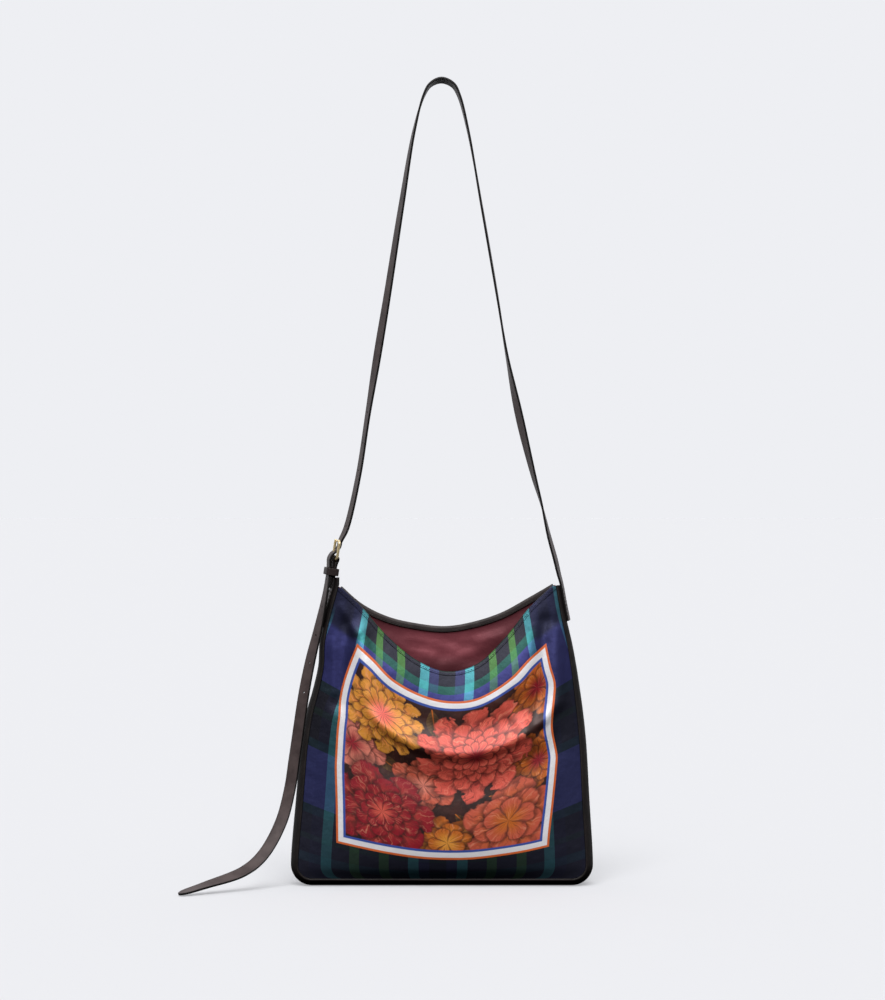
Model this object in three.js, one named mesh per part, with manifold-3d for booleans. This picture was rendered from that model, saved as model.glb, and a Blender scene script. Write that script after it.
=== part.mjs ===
// Slim shoulder bag of checked satin with a scooped mouth, a leather gusset and a long buckled strap.
// Millimetres, +Z up, the front faces -Y. Heights in the tables are above the floor the bag stands on.
// The origin of the finished part is the underside of the strap's arch, where the bag hangs.

import * as THREE from "three";
import { mergeVertices } from "three/addons/utils/BufferGeometryUtils.js";
import Module from "manifold-3d";

const wasm = await Module();
wasm.setup();

// Sizes of the whole bag
const HANG_HEIGHT = 835;
const CORNER_RADIUS = 22;
const LEFT_TOP = 309;
const RIGHT_TOP = 311;
const GUSSET_LEFT_END = 318.8;

// Thicknesses and clearances
const CLOTH = 1.2;
const LINING = 1.0;
const LEATHER = 2.0;
const SEAM_GAP = 0.35;
const SEAT_GAP = 0.8;
const RIM_LIP = 1.2;
const LINING_RISE = 1.5;

// Bindings on the mouth
const FRONT_BINDING = { wall: 0.9, leg: 3.3 };
const BACK_BINDING = { wall: 1.1, leg: 3.2 };
const BINDING_END = 0.7;
const BINDING_GAP = 0.75;

// Strap
const STRAP_WIDTH = 13;
const STRAP_THICK = 2.2;
const STRAP_BEVEL = 0.5;
const STRAP_STEP = 27;
const TIP_LENGTH = 14;
const TIP_END_SHARE = 0.18;
const HOLE_RADIUS = 1.1;
const HOLE_SPACING = 30;
const HOLES_EACH_WAY = 5;
const STRAP_SEAT = { end: 274, middle: 292, roll: 11 };

// Buckle, tab and keeper
const BUCKLE_PLACE = { x: -109.5, depth: 0, height: 347.5 };
const BUCKLE_TURN = THREE.MathUtils.degToRad(16);
const BUCKLE_LEAN = THREE.MathUtils.degToRad(9);
const FRAME_HALF_WIDTH = 9.2;
const FRAME_HALF_HEIGHT = 9.5;
const FRAME_WIRE = 1.4;
const FRAME_CORNER = 3;
const PRONG_WIRE = 0.9;
const PRONG_PLAY = 0.5;
const PRONG_OVERHANG = 1.6;
const TAB_THICK = 2.0;
const TAB_SLOT = { width: 3.2, height: 9.5, rise: 0.2 };
const TAB_SEAT = { end: 268, middle: 290, gap: 1.1, roll: -15 };
const STRAP_CROSSING = -3;
const KEEPER = { down: 23, height: 7.5, wall: 1.6, inside: -3.4, outside: 6.6, play: 0.7 };

// Grids of the panels, and the shares of the way up where their lowest rows lie, close together at corners
const FOOT_ROWS = [0, 0.016, 0.045];
const FRONT_GRID = { columns: 26, rows: 16 };
const BACK_GRID = { columns: 16, rows: 16 };
const ROUND_SIDES = 8;

// Outline of the body: where its two sides lie, how deep it is and how far the gusset's edges turn in
const BODY = [
  { height: 0, left: -156, right: 157, depth: 40, tuck: 6 },
  { height: 30, left: -156, right: 157, depth: 40, tuck: 6 },
  { height: 90, left: -151, right: 153.5, depth: 37, tuck: 6 },
  { height: 145, left: -146, right: 150.5, depth: 32, tuck: 5.5 },
  { height: 180, left: -140, right: 147, depth: 28, tuck: 5 },
  { height: 205, left: -133, right: 143.5, depth: 25.5, tuck: 4.5 },
  { height: 228, left: -128, right: 140, depth: 23, tuck: 4 },
  { height: 252, left: -126.5, right: 135.5, depth: 20, tuck: 3.5 },
  { height: 280, left: -120, right: 129, depth: 17, tuck: 3 },
  { height: 312, left: -111, right: 123, depth: 14, tuck: 2.5 },
];

// How far the middle of each panel stands out beyond its side seams, and how steeply it falls off to them
const PILLOW_POWER = 2.2;
const FULLNESS = [
  { height: 8, front: 0, back: 0 },
  { height: 20, front: 9, back: 7 },
  { height: 50, front: 14, back: 10 },
  { height: 100, front: 15, back: 12 },
  { height: 150, front: 17, back: 12 },
  { height: 200, front: 18, back: 12 },
  { height: 230, front: 17, back: 13.5 },
  { height: 265, front: 11, back: 12.5 },
  { height: 310, front: 2, back: 4 },
];

// Height of the mouth edges from the left corner (-1) to the right corner (1)
const MOUTH = [
  { across: -1, front: LEFT_TOP, back: LEFT_TOP },
  { across: -0.75, front: 286.5, back: 288.5 },
  { across: -0.5, front: 257.5, back: 275 },
  { across: -0.25, front: 232, back: 268 },
  { across: 0, front: 220.5, back: 265 },
  { across: 0.25, front: 228.5, back: 270 },
  { across: 0.5, front: 255, back: 280 },
  { across: 0.75, front: 287, back: 295.5 },
  { across: 1, front: RIGHT_TOP, back: RIGHT_TOP },
];

// Lean, swags and folds die away towards the side seams by this power, and below this height towards the foot
const FADE = { power: 6, height: 45 };

// How far the front's mouth edge leans back in, how far below the edge that starts and how it grows
const FRONT_LEAN = 10;
const LEAN_REACH = 48;
const LEAN_POWER = 1.4;

// Swags: folds that hang in a curve from side to side, lowest at one place across and climbing to the sides,
// where they fade out
const SWAG_FADE = { from: 0.55, to: 0.85 };
const FRONT_SWAGS = [
  { low: 136, at: 0.12, climb: 88, bulge: 6, spread: 15 },
  { low: 106, at: 0.12, climb: 80, bulge: -3, spread: 18 },
  { low: 166, at: 0.12, climb: 88, bulge: -2.5, spread: 15 },
];
const BACK_SWAGS = [
  { low: 190, at: 0, climb: 50, bulge: 4, spread: 18 },
  { low: 150, at: 0, climb: 40, bulge: -2, spread: 18 },
];

// Straight folds that run down from the corners of the mouth
const FRONT_FOLDS = [
  { fromX: 109, fromHeight: 272, toX: 98, toHeight: 165, bulge: -4, spread: 9 },
  { fromX: 120, fromHeight: 262, toX: 122, toHeight: 190, bulge: 3.5, spread: 9 },
  { fromX: -100, fromHeight: 270, toX: -106, toHeight: 190, bulge: -3.5, spread: 9 },
  { fromX: -84, fromHeight: 262, toX: -76, toHeight: 200, bulge: 3, spread: 9 },
];
const BACK_FOLDS = [
  { fromX: 100, fromHeight: 285, toX: 84, toHeight: 200, bulge: 2.5, spread: 12 },
  { fromX: -88, fromHeight: 280, toX: -76, toHeight: 200, bulge: 2.5, spread: 12 },
];

// Section of the gusset from front to back: how much of the tuck each place takes
const GUSSET_SECTION = [
  { across: -1, tucked: 1 },
  { across: -0.76, tucked: 0.36 },
  { across: -0.4, tucked: 0 },
  { across: 0.4, tucked: 0 },
  { across: 0.76, tucked: 0.36 },
  { across: 1, tucked: 1 },
];

// Right leg and arch of the strap, then the left leg down to the buckle.
// A roll above zero turns the outer face towards the front.
const STRAP_LOOP = [
  { x: 122.3, depth: 0, height: 321.5, roll: 14 },
  { x: 118.6, depth: 0, height: 337, roll: 16 },
  { x: 111.5, depth: 0, height: 363, roll: 13 },
  { x: 104.3, depth: 0, height: 394, roll: 0 },
  { x: 95.7, depth: 0, height: 425, roll: -16 },
  { x: 80.6, depth: 0, height: 488, roll: -31 },
  { x: 68, depth: 0, height: 550, roll: -4 },
  { x: 57.7, depth: 0, height: 613, roll: 4 },
  { x: 41.6, depth: 0, height: 706, roll: 4 },
  { x: 27.6, depth: 0, height: 784, roll: -2 },
  { x: 18.2, depth: 0, height: 820, roll: -8 },
  { x: 12, depth: 0, height: 831, roll: -13 },
  { x: 0, depth: 0, height: 836.1, roll: -17 },
  { x: -11.4, depth: 0, height: 831.4, roll: -9 },
  { x: -18, depth: 0, height: 821, roll: -2 },
  { x: -28.4, depth: 0, height: 784, roll: 9 },
  { x: -41.6, depth: 0, height: 706, roll: 22 },
  { x: -56.2, depth: 0, height: 613, roll: 30 },
  { x: -66.6, depth: 0, height: 550, roll: 34 },
  { x: -76.6, depth: 0, height: 488, roll: 20 },
  { x: -86.3, depth: 0, height: 425, roll: 20 },
  { x: -99, depth: 0, height: 370, roll: 22 },
];

// Way of the strap through the buckle, seen from the buckle: out from its plane and up from its middle
const STRAP_IN_BUCKLE = [
  { out: -2.85, up: 9.5 },
  { out: -2.3, up: 3.5 },
  { out: 0.8, up: -1.2 },
  { out: 4.3, up: -5.2 },
  { out: 5.9, up: -9.8 },
  { out: 5.3, up: -15 },
  { out: 4.4, up: -23 },
];

// Free tail from the keeper to its tip on the floor
const STRAP_TAIL = [
  { x: -120.9, depth: -5, height: 300, roll: 22 },
  { x: -127.9, depth: -8, height: 266, roll: 38 },
  { x: -135.8, depth: -10.5, height: 233, roll: 50 },
  { x: -142.2, depth: -12.5, height: 200, roll: 57 },
  { x: -151.8, depth: -15.5, height: 134, roll: 62 },
  { x: -156.8, depth: -19, height: 100, roll: 64 },
  { x: -165.5, depth: -27, height: 67, roll: 66 },
  { x: -183, depth: -42, height: 35.5, roll: 60 },
  { x: -201.6, depth: -55, height: 20.5, roll: 45 },
  { x: -240, depth: -76, height: 8.6, roll: 22 },
  { x: -265, depth: -91, height: 1.9, roll: 12 },
];

const MATERIALS = {
  satin: new THREE.MeshStandardMaterial({ color: 0x2b3157, roughness: 0.45 }),
  lining: new THREE.MeshStandardMaterial({ color: 0x7a3f46, roughness: 0.5 }),
  leather: new THREE.MeshStandardMaterial({ color: 0x473c3b, roughness: 0.55 }),
  brass: new THREE.MeshStandardMaterial({ color: 0xd2b276, roughness: 0.25, metalness: 1 }),
};

// A smooth curve through one column of a table, read at a place along another column.
function reading(table, along, column) {
  const places = table.map((row) => row[along]);
  const values = table.map((row) => row[column]);
  const last = table.length - 1;
  const slopes = places.map((_, k) => {
    const before = Math.max(k - 1, 0);
    const after = Math.min(k + 1, last);
    return (values[after] - values[before]) / (places[after] - places[before]);
  });
  return (place) => {
    const held = THREE.MathUtils.clamp(place, places[0], places[last]);
    const next = Math.max(1, places.findIndex((edge) => held <= edge));
    const width = places[next] - places[next - 1];
    const t = (held - places[next - 1]) / width;
    const start = values[next - 1] * (1 + 2 * t) * (1 - t) ** 2;
    const end = values[next] * t * t * (3 - 2 * t);
    const leaving = slopes[next - 1] * width * t * (1 - t) ** 2;
    const arriving = slopes[next] * width * t * t * (t - 1);
    return start + end + leaving + arriving;
  };
}

const leftAt = reading(BODY, "height", "left");
const rightAt = reading(BODY, "height", "right");
const depthAt = reading(BODY, "height", "depth");
const tuckAt = reading(BODY, "height", "tuck");

const FRONT = {
  side: -1,
  lean: FRONT_LEAN,
  fullness: reading(FULLNESS, "height", "front"),
  mouth: reading(MOUTH, "across", "front"),
  swags: FRONT_SWAGS,
  folds: FRONT_FOLDS,
  grid: FRONT_GRID,
};
const BACK = {
  side: 1,
  lean: 0,
  fullness: reading(FULLNESS, "height", "back"),
  mouth: reading(MOUTH, "across", "back"),
  swags: BACK_SWAGS,
  folds: BACK_FOLDS,
  grid: BACK_GRID,
};
const PANEL_FOOT = tuckAt(0) + LEATHER + SEAM_GAP;
const LINING_INSET = CLOTH / 2 + SEAM_GAP + LINING / 2;
const LINING_FOOT = PANEL_FOOT + LINING_RISE;

// Collects corner points and triangles and turns them into one geometry.
class Facets {
  constructor() {
    this.points = [];
    this.triangles = [];
  }

  add(point) {
    this.points.push(point.x, point.y, point.z);
    return this.points.length / 3 - 1;
  }

  quad(a, b, c, d) {
    this.triangles.push(a, b, c, a, c, d);
  }

  geometry() {
    const made = new THREE.BufferGeometry();
    made.setAttribute("position", new THREE.Float32BufferAttribute(this.points, 3));
    made.setIndex(this.triangles);
    return made;
  }
}

function counted(count, make) {
  return Array.from({ length: count }, (_, k) => make(k));
}

function bump(distance) {
  return Math.exp(-distance * distance);
}

function total(rows, share) {
  return rows.reduce((sum, row) => sum + share(row), 0);
}

// How far a place on a panel lies from a straight fold.
function distanceToFold(fold, x, height) {
  const runX = fold.toX - fold.fromX;
  const runHeight = fold.toHeight - fold.fromHeight;
  const offX = x - fold.fromX;
  const offHeight = height - fold.fromHeight;
  const share = (offX * runX + offHeight * runHeight) / (runX * runX + runHeight * runHeight);
  const held = THREE.MathUtils.clamp(share, 0, 1);
  return Math.hypot(offX - held * runX, offHeight - held * runHeight);
}

// Middle and half width of the cloth panels at a height, inside the gusset and round its lower corners.
function panelSpan(height) {
  const inset = tuckAt(height) + LEATHER + SEAM_GAP;
  const inner = CORNER_RADIUS - PANEL_FOOT;
  const below = THREE.MathUtils.clamp((CORNER_RADIUS - height) / inner, 0, 1);
  const pull = inner * (1 - Math.sqrt(1 - below * below));
  const left = leftAt(height) + inset + pull;
  const right = rightAt(height) - inset - pull;
  return { middle: (left + right) / 2, half: (right - left) / 2 };
}

// Lean, swags and folds of a panel, faded out at its seams.
function relief(panel, across, x, height) {
  const fade = (1 - across ** FADE.power) * THREE.MathUtils.smoothstep(height, PANEL_FOOT, FADE.height);
  const nearMouth = THREE.MathUtils.clamp(1 - (panel.mouth(across) - height) / LEAN_REACH, 0, 1);
  const lean = -panel.lean * (1 - across * across) * nearMouth ** LEAN_POWER;
  const swags = total(panel.swags, (swag) => {
    const aside = Math.abs(across - swag.at);
    const line = swag.low + swag.climb * aside * aside;
    const held = 1 - THREE.MathUtils.smoothstep(aside, SWAG_FADE.from, SWAG_FADE.to);
    return held * swag.bulge * bump((height - line) / swag.spread);
  });
  const folds = total(
    panel.folds,
    (fold) => fold.bulge * bump(distanceToFold(fold, x, height) / fold.spread)
  );
  return fade * (lean + swags + folds);
}

// Middle of a panel's cloth: across runs from the left seam (-1) to the right seam (1).
function panelPoint(panel, across, height) {
  const span = panelSpan(height);
  const x = span.middle + across * span.half;
  const seam = depthAt(height) / 2 - RIM_LIP - CLOTH / 2;
  const pillow = panel.fullness(height) * (1 - Math.abs(across) ** PILLOW_POWER);
  const out = seam + pillow + relief(panel, across, x, height);
  return new THREE.Vector3(x, panel.side * out, height);
}

// Direction out of the bag at a place on a panel.
function panelNormal(panel, across, height) {
  const step = 0.002;
  const lift = 0.4;
  const left = panelPoint(panel, Math.max(across - step, -1), height);
  const right = panelPoint(panel, Math.min(across + step, 1), height);
  const low = panelPoint(panel, across, Math.max(height - lift, PANEL_FOOT));
  const high = panelPoint(panel, across, height + lift);
  const normal = right.sub(left).cross(high.sub(low));
  return normal.normalize().multiplyScalar(-panel.side);
}

// A place on a panel's grid, by its column and row.
function panelPlace(panel, column, row) {
  const across = -panel.side * ((2 * column) / panel.grid.columns - 1);
  const last = FOOT_ROWS.length - 1;
  const above = (row - last) / (panel.grid.rows - last);
  const share = row < last ? FOOT_ROWS[row] : FOOT_ROWS[last] + (1 - FOOT_ROWS[last]) * above;
  const height = PANEL_FOOT + share * (panel.mouth(across) - PANEL_FOOT);
  return { across, height };
}

// A thin closed wall between an outer and an inner grid.
function wall(grid, pointAt) {
  const facets = new Facets();
  const [outer, inner] = [1, -1].map((side) =>
    counted(grid.columns + 1, (i) =>
      counted(grid.rows + 1, (j) => facets.add(pointAt(i, j, side)))
    )
  );
  const top = grid.rows;
  const end = grid.columns;
  for (let i = 0; i < end; i += 1) {
    for (let j = 0; j < top; j += 1) {
      facets.quad(outer[i][j], outer[i + 1][j], outer[i + 1][j + 1], outer[i][j + 1]);
      facets.quad(inner[i][j], inner[i][j + 1], inner[i + 1][j + 1], inner[i + 1][j]);
    }
    facets.quad(outer[i][0], inner[i][0], inner[i + 1][0], outer[i + 1][0]);
    facets.quad(outer[i][top], outer[i + 1][top], inner[i + 1][top], inner[i][top]);
  }
  for (let j = 0; j < top; j += 1) {
    facets.quad(outer[0][j], outer[0][j + 1], inner[0][j + 1], inner[0][j]);
    facets.quad(outer[end][j], inner[end][j], inner[end][j + 1], outer[end][j + 1]);
  }
  return facets.geometry();
}

// Rings joined into a tube. A loop runs back into its first ring; otherwise flat caps close the two ends.
function tube(rings, section, loop = false) {
  const facets = new Facets();
  const index = rings.map((ring) => ring.map((point) => facets.add(point)));
  const sides = section.length;
  const spans = loop ? rings.length : rings.length - 1;
  for (let i = 0; i < spans; i += 1) {
    const here = index[i];
    const next = index[(i + 1) % rings.length];
    for (let k = 0; k < sides; k += 1) {
      const turn = (k + 1) % sides;
      facets.quad(here[k], here[turn], next[turn], next[k]);
    }
  }
  if (!loop) {
    const start = index[0];
    const end = index[index.length - 1];
    for (const [a, b, c] of THREE.ShapeUtils.triangulateShape(section, [])) {
      facets.triangles.push(start[a], start[c], start[b], end[a], end[b], end[c]);
    }
  }
  return facets.geometry();
}

// Section points set out from an origin along two directions.
function ringAt(origin, first, second, section) {
  return section.map((spot) =>
    origin.clone().addScaledVector(first, spot.x).addScaledVector(second, spot.y)
  );
}

function roundSection(radius) {
  return counted(ROUND_SIDES, (k) => {
    const angle = (2 * Math.PI * (k + 0.5)) / ROUND_SIDES;
    return new THREE.Vector2(radius * Math.cos(angle), radius * Math.sin(angle));
  });
}

function toSolid(geometry) {
  return new wasm.Manifold(
    new wasm.Mesh({
      numProp: 3,
      vertProperties: new Float32Array(geometry.attributes.position.array),
      triVerts: new Uint32Array(geometry.index.array),
    })
  );
}

function fromSolid(solid) {
  const mesh = solid.getMesh();
  const made = new THREE.BufferGeometry();
  made.setAttribute("position", new THREE.Float32BufferAttribute(mesh.vertProperties, 3));
  made.setIndex(Array.from(mesh.triVerts));
  return made;
}

// A library shape with its doubled corners joined, ready for cutting.
function closedShape(geometry) {
  geometry.deleteAttribute("normal");
  geometry.deleteAttribute("uv");
  return mergeVertices(geometry, 1e-4);
}

function panelWall(panel) {
  return wall(panel.grid, (column, row, side) => {
    const { across, height } = panelPlace(panel, column, row);
    const normal = panelNormal(panel, across, height);
    return panelPoint(panel, across, height).addScaledVector(normal, (side * CLOTH) / 2);
  });
}

// One face of the lining along a panel, as columns from foot to mouth. The inner face (-1) lies a wall's
// thickness further in, at the sides and the foot too.
function liningColumns(panel, face) {
  const { columns, rows } = panel.grid;
  const deeper = ((1 - face) * LINING) / 2;
  return counted(columns + 1, (i) =>
    counted(rows + 1, (j) => {
      const place = panelPlace(panel, i, j);
      const sideways = i === 0 || i === columns ? deeper : 0;
      const across = place.across * (1 - sideways / panelSpan(place.height).half);
      const inset = LINING_INSET - LINING / 2 + deeper;
      const point = panelPoint(panel, across, place.height);
      if (j === 0) {
        return new THREE.Vector3(point.x, point.y - panel.side * inset, LINING_FOOT + deeper);
      }
      return point.addScaledVector(panelNormal(panel, across, place.height), -inset);
    })
  );
}

function liningSkin(facets, face) {
  const add = (columns) => columns.map((column) => column.map((point) => facets.add(point)));
  return { front: add(liningColumns(FRONT, face)), back: add(liningColumns(BACK, face)) };
}

// Flat floor of the pouch between the front and back feet, which hold different numbers of columns.
function pouchFloor(facets, front, back, outward) {
  const floor = [...front.map((column) => column[0]), ...back.map((column) => column[0])];
  const outline = floor.map((corner) => {
    const [x, y] = facets.points.slice(corner * 3, corner * 3 + 2);
    return new THREE.Vector2(x, y);
  });
  for (const [a, b, c] of THREE.ShapeUtils.triangulateShape(outline, [])) {
    const order = outward ? [floor[a], floor[c], floor[b]] : [floor[a], floor[b], floor[c]];
    facets.triangles.push(...order);
  }
}

function liningPouch() {
  const facets = new Facets();
  const outer = liningSkin(facets, 1);
  const inner = liningSkin(facets, -1);
  const outerLoop = [...outer.front, ...outer.back];
  const innerLoop = [...inner.front, ...inner.back];
  const top = FRONT.grid.rows;
  outerLoop.forEach((column, i) => {
    const next = outerLoop[(i + 1) % outerLoop.length];
    const inside = innerLoop[i];
    const insideNext = innerLoop[(i + 1) % innerLoop.length];
    for (let j = 0; j < top; j += 1) {
      facets.quad(column[j], next[j], next[j + 1], column[j + 1]);
      facets.quad(inside[j], inside[j + 1], insideNext[j + 1], insideNext[j]);
    }
    facets.quad(column[top], next[top], insideNext[top], inside[top]);
  });
  pouchFloor(facets, outer.front, outer.back, true);
  pouchFloor(facets, inner.front, inner.back, false);
  return facets.geometry();
}

// Outer line of the gusset from its left end, behind the tab, under the bag to the right corner.
function gussetLine() {
  const sideSteps = 20;
  const cornerSteps = 5;
  const footSteps = 6;
  const left = leftAt(CORNER_RADIUS) + CORNER_RADIUS;
  const right = rightAt(CORNER_RADIUS) - CORNER_RADIUS;
  const climb = (top, k) => CORNER_RADIUS + ((top - CORNER_RADIUS) * k) / sideSteps;
  const arc = (middle, angle) =>
    new THREE.Vector2(
      middle + CORNER_RADIUS * Math.cos(angle),
      CORNER_RADIUS + CORNER_RADIUS * Math.sin(angle)
    );
  const leftSide = [GUSSET_LEFT_END, ...counted(sideSteps, (k) => climb(LEFT_TOP, sideSteps - k))];
  const rightSide = counted(sideSteps, (k) => climb(RIGHT_TOP, k + 1));
  const turn = Math.PI / 2 / cornerSteps;
  return [
    ...leftSide.map((height) => new THREE.Vector2(leftAt(height), height)),
    ...counted(cornerSteps + 1, (k) => arc(left, Math.PI + k * turn)),
    ...counted(footSteps - 1, (k) => new THREE.Vector2(left + ((right - left) * (k + 1)) / footSteps, 0)),
    ...counted(cornerSteps + 1, (k) => arc(right, 1.5 * Math.PI + k * turn)),
    ...rightSide.map((height) => new THREE.Vector2(rightAt(height), height)),
  ];
}

// Leather strip: outer face at the body's outline, both edges turned in by the tuck.
function gussetStrip() {
  const line = gussetLine();
  const rows = [
    ...GUSSET_SECTION.map((spot) => ({ ...spot, deep: 0 })),
    ...GUSSET_SECTION.map((spot) => ({ ...spot, deep: LEATHER })).reverse(),
  ];
  const inward = (spot, height) => spot.tucked * tuckAt(height) + spot.deep;
  const outward = (spot, height) => (spot.across * depthAt(height)) / 2;
  const section = rows.map((spot) => new THREE.Vector2(outward(spot, LEFT_TOP), inward(spot, LEFT_TOP)));
  const rings = line.map((spot, k) => {
    const before = line[Math.max(k - 1, 0)];
    const after = line[Math.min(k + 1, line.length - 1)];
    const travel = after.clone().sub(before).normalize();
    return rows.map((row) => {
      const turnedIn = inward(row, spot.y);
      const x = spot.x - travel.y * turnedIn;
      const height = spot.y + travel.x * turnedIn;
      return new THREE.Vector3(x, outward(row, spot.y), height);
    });
  });
  return tube(rings, section);
}

// A place on the straight line between two corners of a panel's grid, by a column that need not be whole.
function cornerBetween(panel, column, row) {
  const corner = (i) => {
    const { across, height } = panelPlace(panel, i, row);
    return panelPoint(panel, across, height);
  };
  const start = Math.min(Math.floor(column), panel.grid.columns - 1);
  return corner(start).lerp(corner(start + 1), column - start);
}

// A strip folded over the mouth edge of a panel and the lining behind it.
function mouthBinding(panel, size) {
  const clear = BINDING_GAP;
  const outer = CLOTH / 2 + clear;
  const inner = -(LINING_INSET + LINING / 2 + clear);
  const section = [
    new THREE.Vector2(-size.leg, outer),
    new THREE.Vector2(clear, outer),
    new THREE.Vector2(clear, inner),
    new THREE.Vector2(-size.leg, inner),
    new THREE.Vector2(-size.leg, inner - size.wall),
    new THREE.Vector2(clear, inner - size.wall),
    new THREE.Vector2(clear + size.wall, inner),
    new THREE.Vector2(clear + size.wall, outer),
    new THREE.Vector2(clear, outer + size.wall),
    new THREE.Vector2(-size.leg, outer + size.wall),
  ];
  const { columns, rows } = panel.grid;
  const stops = counted(columns + 1, (i) => THREE.MathUtils.clamp(i, BINDING_END, columns - BINDING_END));
  const rings = stops.map((stop) => {
    const edge = cornerBetween(panel, stop, rows);
    const before = cornerBetween(panel, Math.max(stop - 1, 0), rows);
    const after = cornerBetween(panel, Math.min(stop + 1, columns), rows);
    const travel = after.sub(before).normalize();
    const rise = edge.clone().sub(cornerBetween(panel, stop, rows - 1));
    rise.addScaledVector(travel, -rise.dot(travel)).normalize();
    const out = new THREE.Vector3().crossVectors(travel, rise);
    return ringAt(edge, rise, out, section);
  });
  return tube(rings, section);
}

// Frame of the buckle in the bag: local X points out of the strap's outer face and local Z up the strap.
const hardware = new THREE.Group();
hardware.position.set(BUCKLE_PLACE.x, BUCKLE_PLACE.depth, BUCKLE_PLACE.height);
hardware.rotation.set(0, BUCKLE_LEAN, Math.PI + BUCKLE_TURN);
hardware.updateMatrix();

// Places seen from the buckle as rows of a band's table, rolled so that the band lies along the frame's bars.
function buckleRows(spots) {
  const bars = new THREE.Vector3(0, -1, 0).transformDirection(hardware.matrix);
  return spots.map((spot, k) => {
    const before = spots[Math.max(k - 1, 0)];
    const after = spots[Math.min(k + 1, spots.length - 1)];
    const way = new THREE.Vector3(after.out - before.out, 0, after.up - before.up);
    const level = bandDirections(way.transformDirection(hardware.matrix), 0);
    const roll = Math.atan2(bars.dot(level.face), bars.dot(level.wide));
    const point = new THREE.Vector3(spot.out, 0, spot.up).applyMatrix4(hardware.matrix);
    return { x: point.x, depth: point.y, height: point.z, roll: THREE.MathUtils.radToDeg(roll) };
  });
}

// A flat band along a table of places. Each station holds its place, directions and distance along the band.
function bandStations(rows, longest) {
  const places = rows.map((row) => new THREE.Vector3(row.x, row.depth, row.height));
  const curve = new THREE.CatmullRomCurve3(places, false, "centripetal");
  const spans = rows.length - 1;
  const shares = [0];
  for (let k = 0; k < spans; k += 1) {
    const steps = Math.max(2, Math.ceil(places[k].distanceTo(places[k + 1]) / longest));
    for (let n = 1; n <= steps; n += 1) {
      shares.push((k + n / steps) / spans);
    }
  }
  const rolls = reading(rows.map((row, k) => ({ share: k / spans, roll: row.roll })), "share", "roll");
  let run = 0;
  let before = places[0];
  return shares.map((share) => {
    const place = curve.getPoint(share);
    run += place.distanceTo(before);
    before = place;
    return { ...bandDirections(curve.getTangent(share), rolls(share)), place, run };
  });
}

// Outer face and width directions of a band that travels along a tangent and is rolled about it.
function bandDirections(travel, rollDegrees) {
  const roll = THREE.MathUtils.degToRad(rollDegrees);
  const level = new THREE.Vector3(travel.z, 0, -travel.x).normalize();
  const width = new THREE.Vector3().crossVectors(travel, level).normalize();
  const face = level.clone().multiplyScalar(Math.cos(roll)).addScaledVector(width, -Math.sin(roll));
  const wide = level.multiplyScalar(Math.sin(roll)).addScaledVector(width, Math.cos(roll));
  return { face, wide };
}

// Flat band section with bevelled edges: thickness along X and width along Y.
function bandSection(thick, wide, bevel) {
  const t = thick / 2;
  const w = wide / 2;
  return [
    new THREE.Vector2(t, -w + bevel),
    new THREE.Vector2(t, w - bevel),
    new THREE.Vector2(t - bevel, w),
    new THREE.Vector2(-t + bevel, w),
    new THREE.Vector2(-t, w - bevel),
    new THREE.Vector2(-t, -w + bevel),
    new THREE.Vector2(-t + bevel, -w),
    new THREE.Vector2(t - bevel, -w),
  ];
}

// Width of the strap near its rounded tip, as a share of the full width.
function tipShare(left) {
  if (left >= TIP_LENGTH) {
    return 1;
  }
  const gone = 1 - left / TIP_LENGTH;
  return TIP_END_SHARE + (1 - TIP_END_SHARE) * Math.sqrt(1 - gone * gone);
}

// Stations closer together over the tip, so that its rounded end is smooth.
function tipStations(stations) {
  const last = stations[stations.length - 1];
  const body = stations.filter((station) => last.run - station.run > TIP_LENGTH);
  const before = body[body.length - 1];
  const start = last.run - TIP_LENGTH;
  const shares = [0, 0.3, 0.55, 0.75, 0.9, 1];
  const tip = shares.map((share) => {
    const run = start + share * TIP_LENGTH;
    const way = (run - before.run) / (last.run - before.run);
    return {
      place: before.place.clone().lerp(last.place, way),
      face: before.face.clone().lerp(last.face, way).normalize(),
      wide: before.wide.clone().lerp(last.wide, way).normalize(),
      run,
    };
  });
  return [...body, ...tip];
}

function strapStations() {
  const seat = (height) => ({
    x: rightAt(height) + SEAT_GAP + STRAP_THICK / 2,
    depth: 0,
    height,
    roll: STRAP_SEAT.roll,
  });
  const rows = [
    seat(STRAP_SEAT.end),
    seat(STRAP_SEAT.middle),
    seat(RIGHT_TOP + 1),
    ...STRAP_LOOP,
    ...buckleRows(STRAP_IN_BUCKLE),
    ...STRAP_TAIL,
  ];
  return tipStations(bandStations(rows, STRAP_STEP));
}

// The place on the strap at a distance along it.
function strapAt(stations, run) {
  const next = stations.findIndex((station) => station.run >= run);
  const a = stations[next - 1];
  const b = stations[next];
  const way = (run - a.run) / (b.run - a.run);
  return {
    place: a.place.clone().lerp(b.place, way),
    face: a.face.clone().lerp(b.face, way).normalize(),
  };
}

// Straight punch through the strap, at right angles to its face.
function holePunch(spot) {
  const length = STRAP_THICK * 4;
  const punch = closedShape(new THREE.CylinderGeometry(HOLE_RADIUS, HOLE_RADIUS, length, ROUND_SIDES));
  const turn = new THREE.Quaternion().setFromUnitVectors(new THREE.Vector3(0, 1, 0), spot.face);
  punch.applyQuaternion(turn);
  punch.translate(spot.place.x, spot.place.y, spot.place.z);
  return toSolid(punch);
}

// Distance along the strap to the prong, where it crosses the prong's line.
function prongRun(stations) {
  const crossing = new THREE.Vector3(prongOut(), 0, STRAP_CROSSING).applyMatrix4(hardware.matrix);
  const distances = stations.map((station) => station.place.distanceTo(crossing));
  return stations[distances.indexOf(Math.min(...distances))].run;
}

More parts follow.
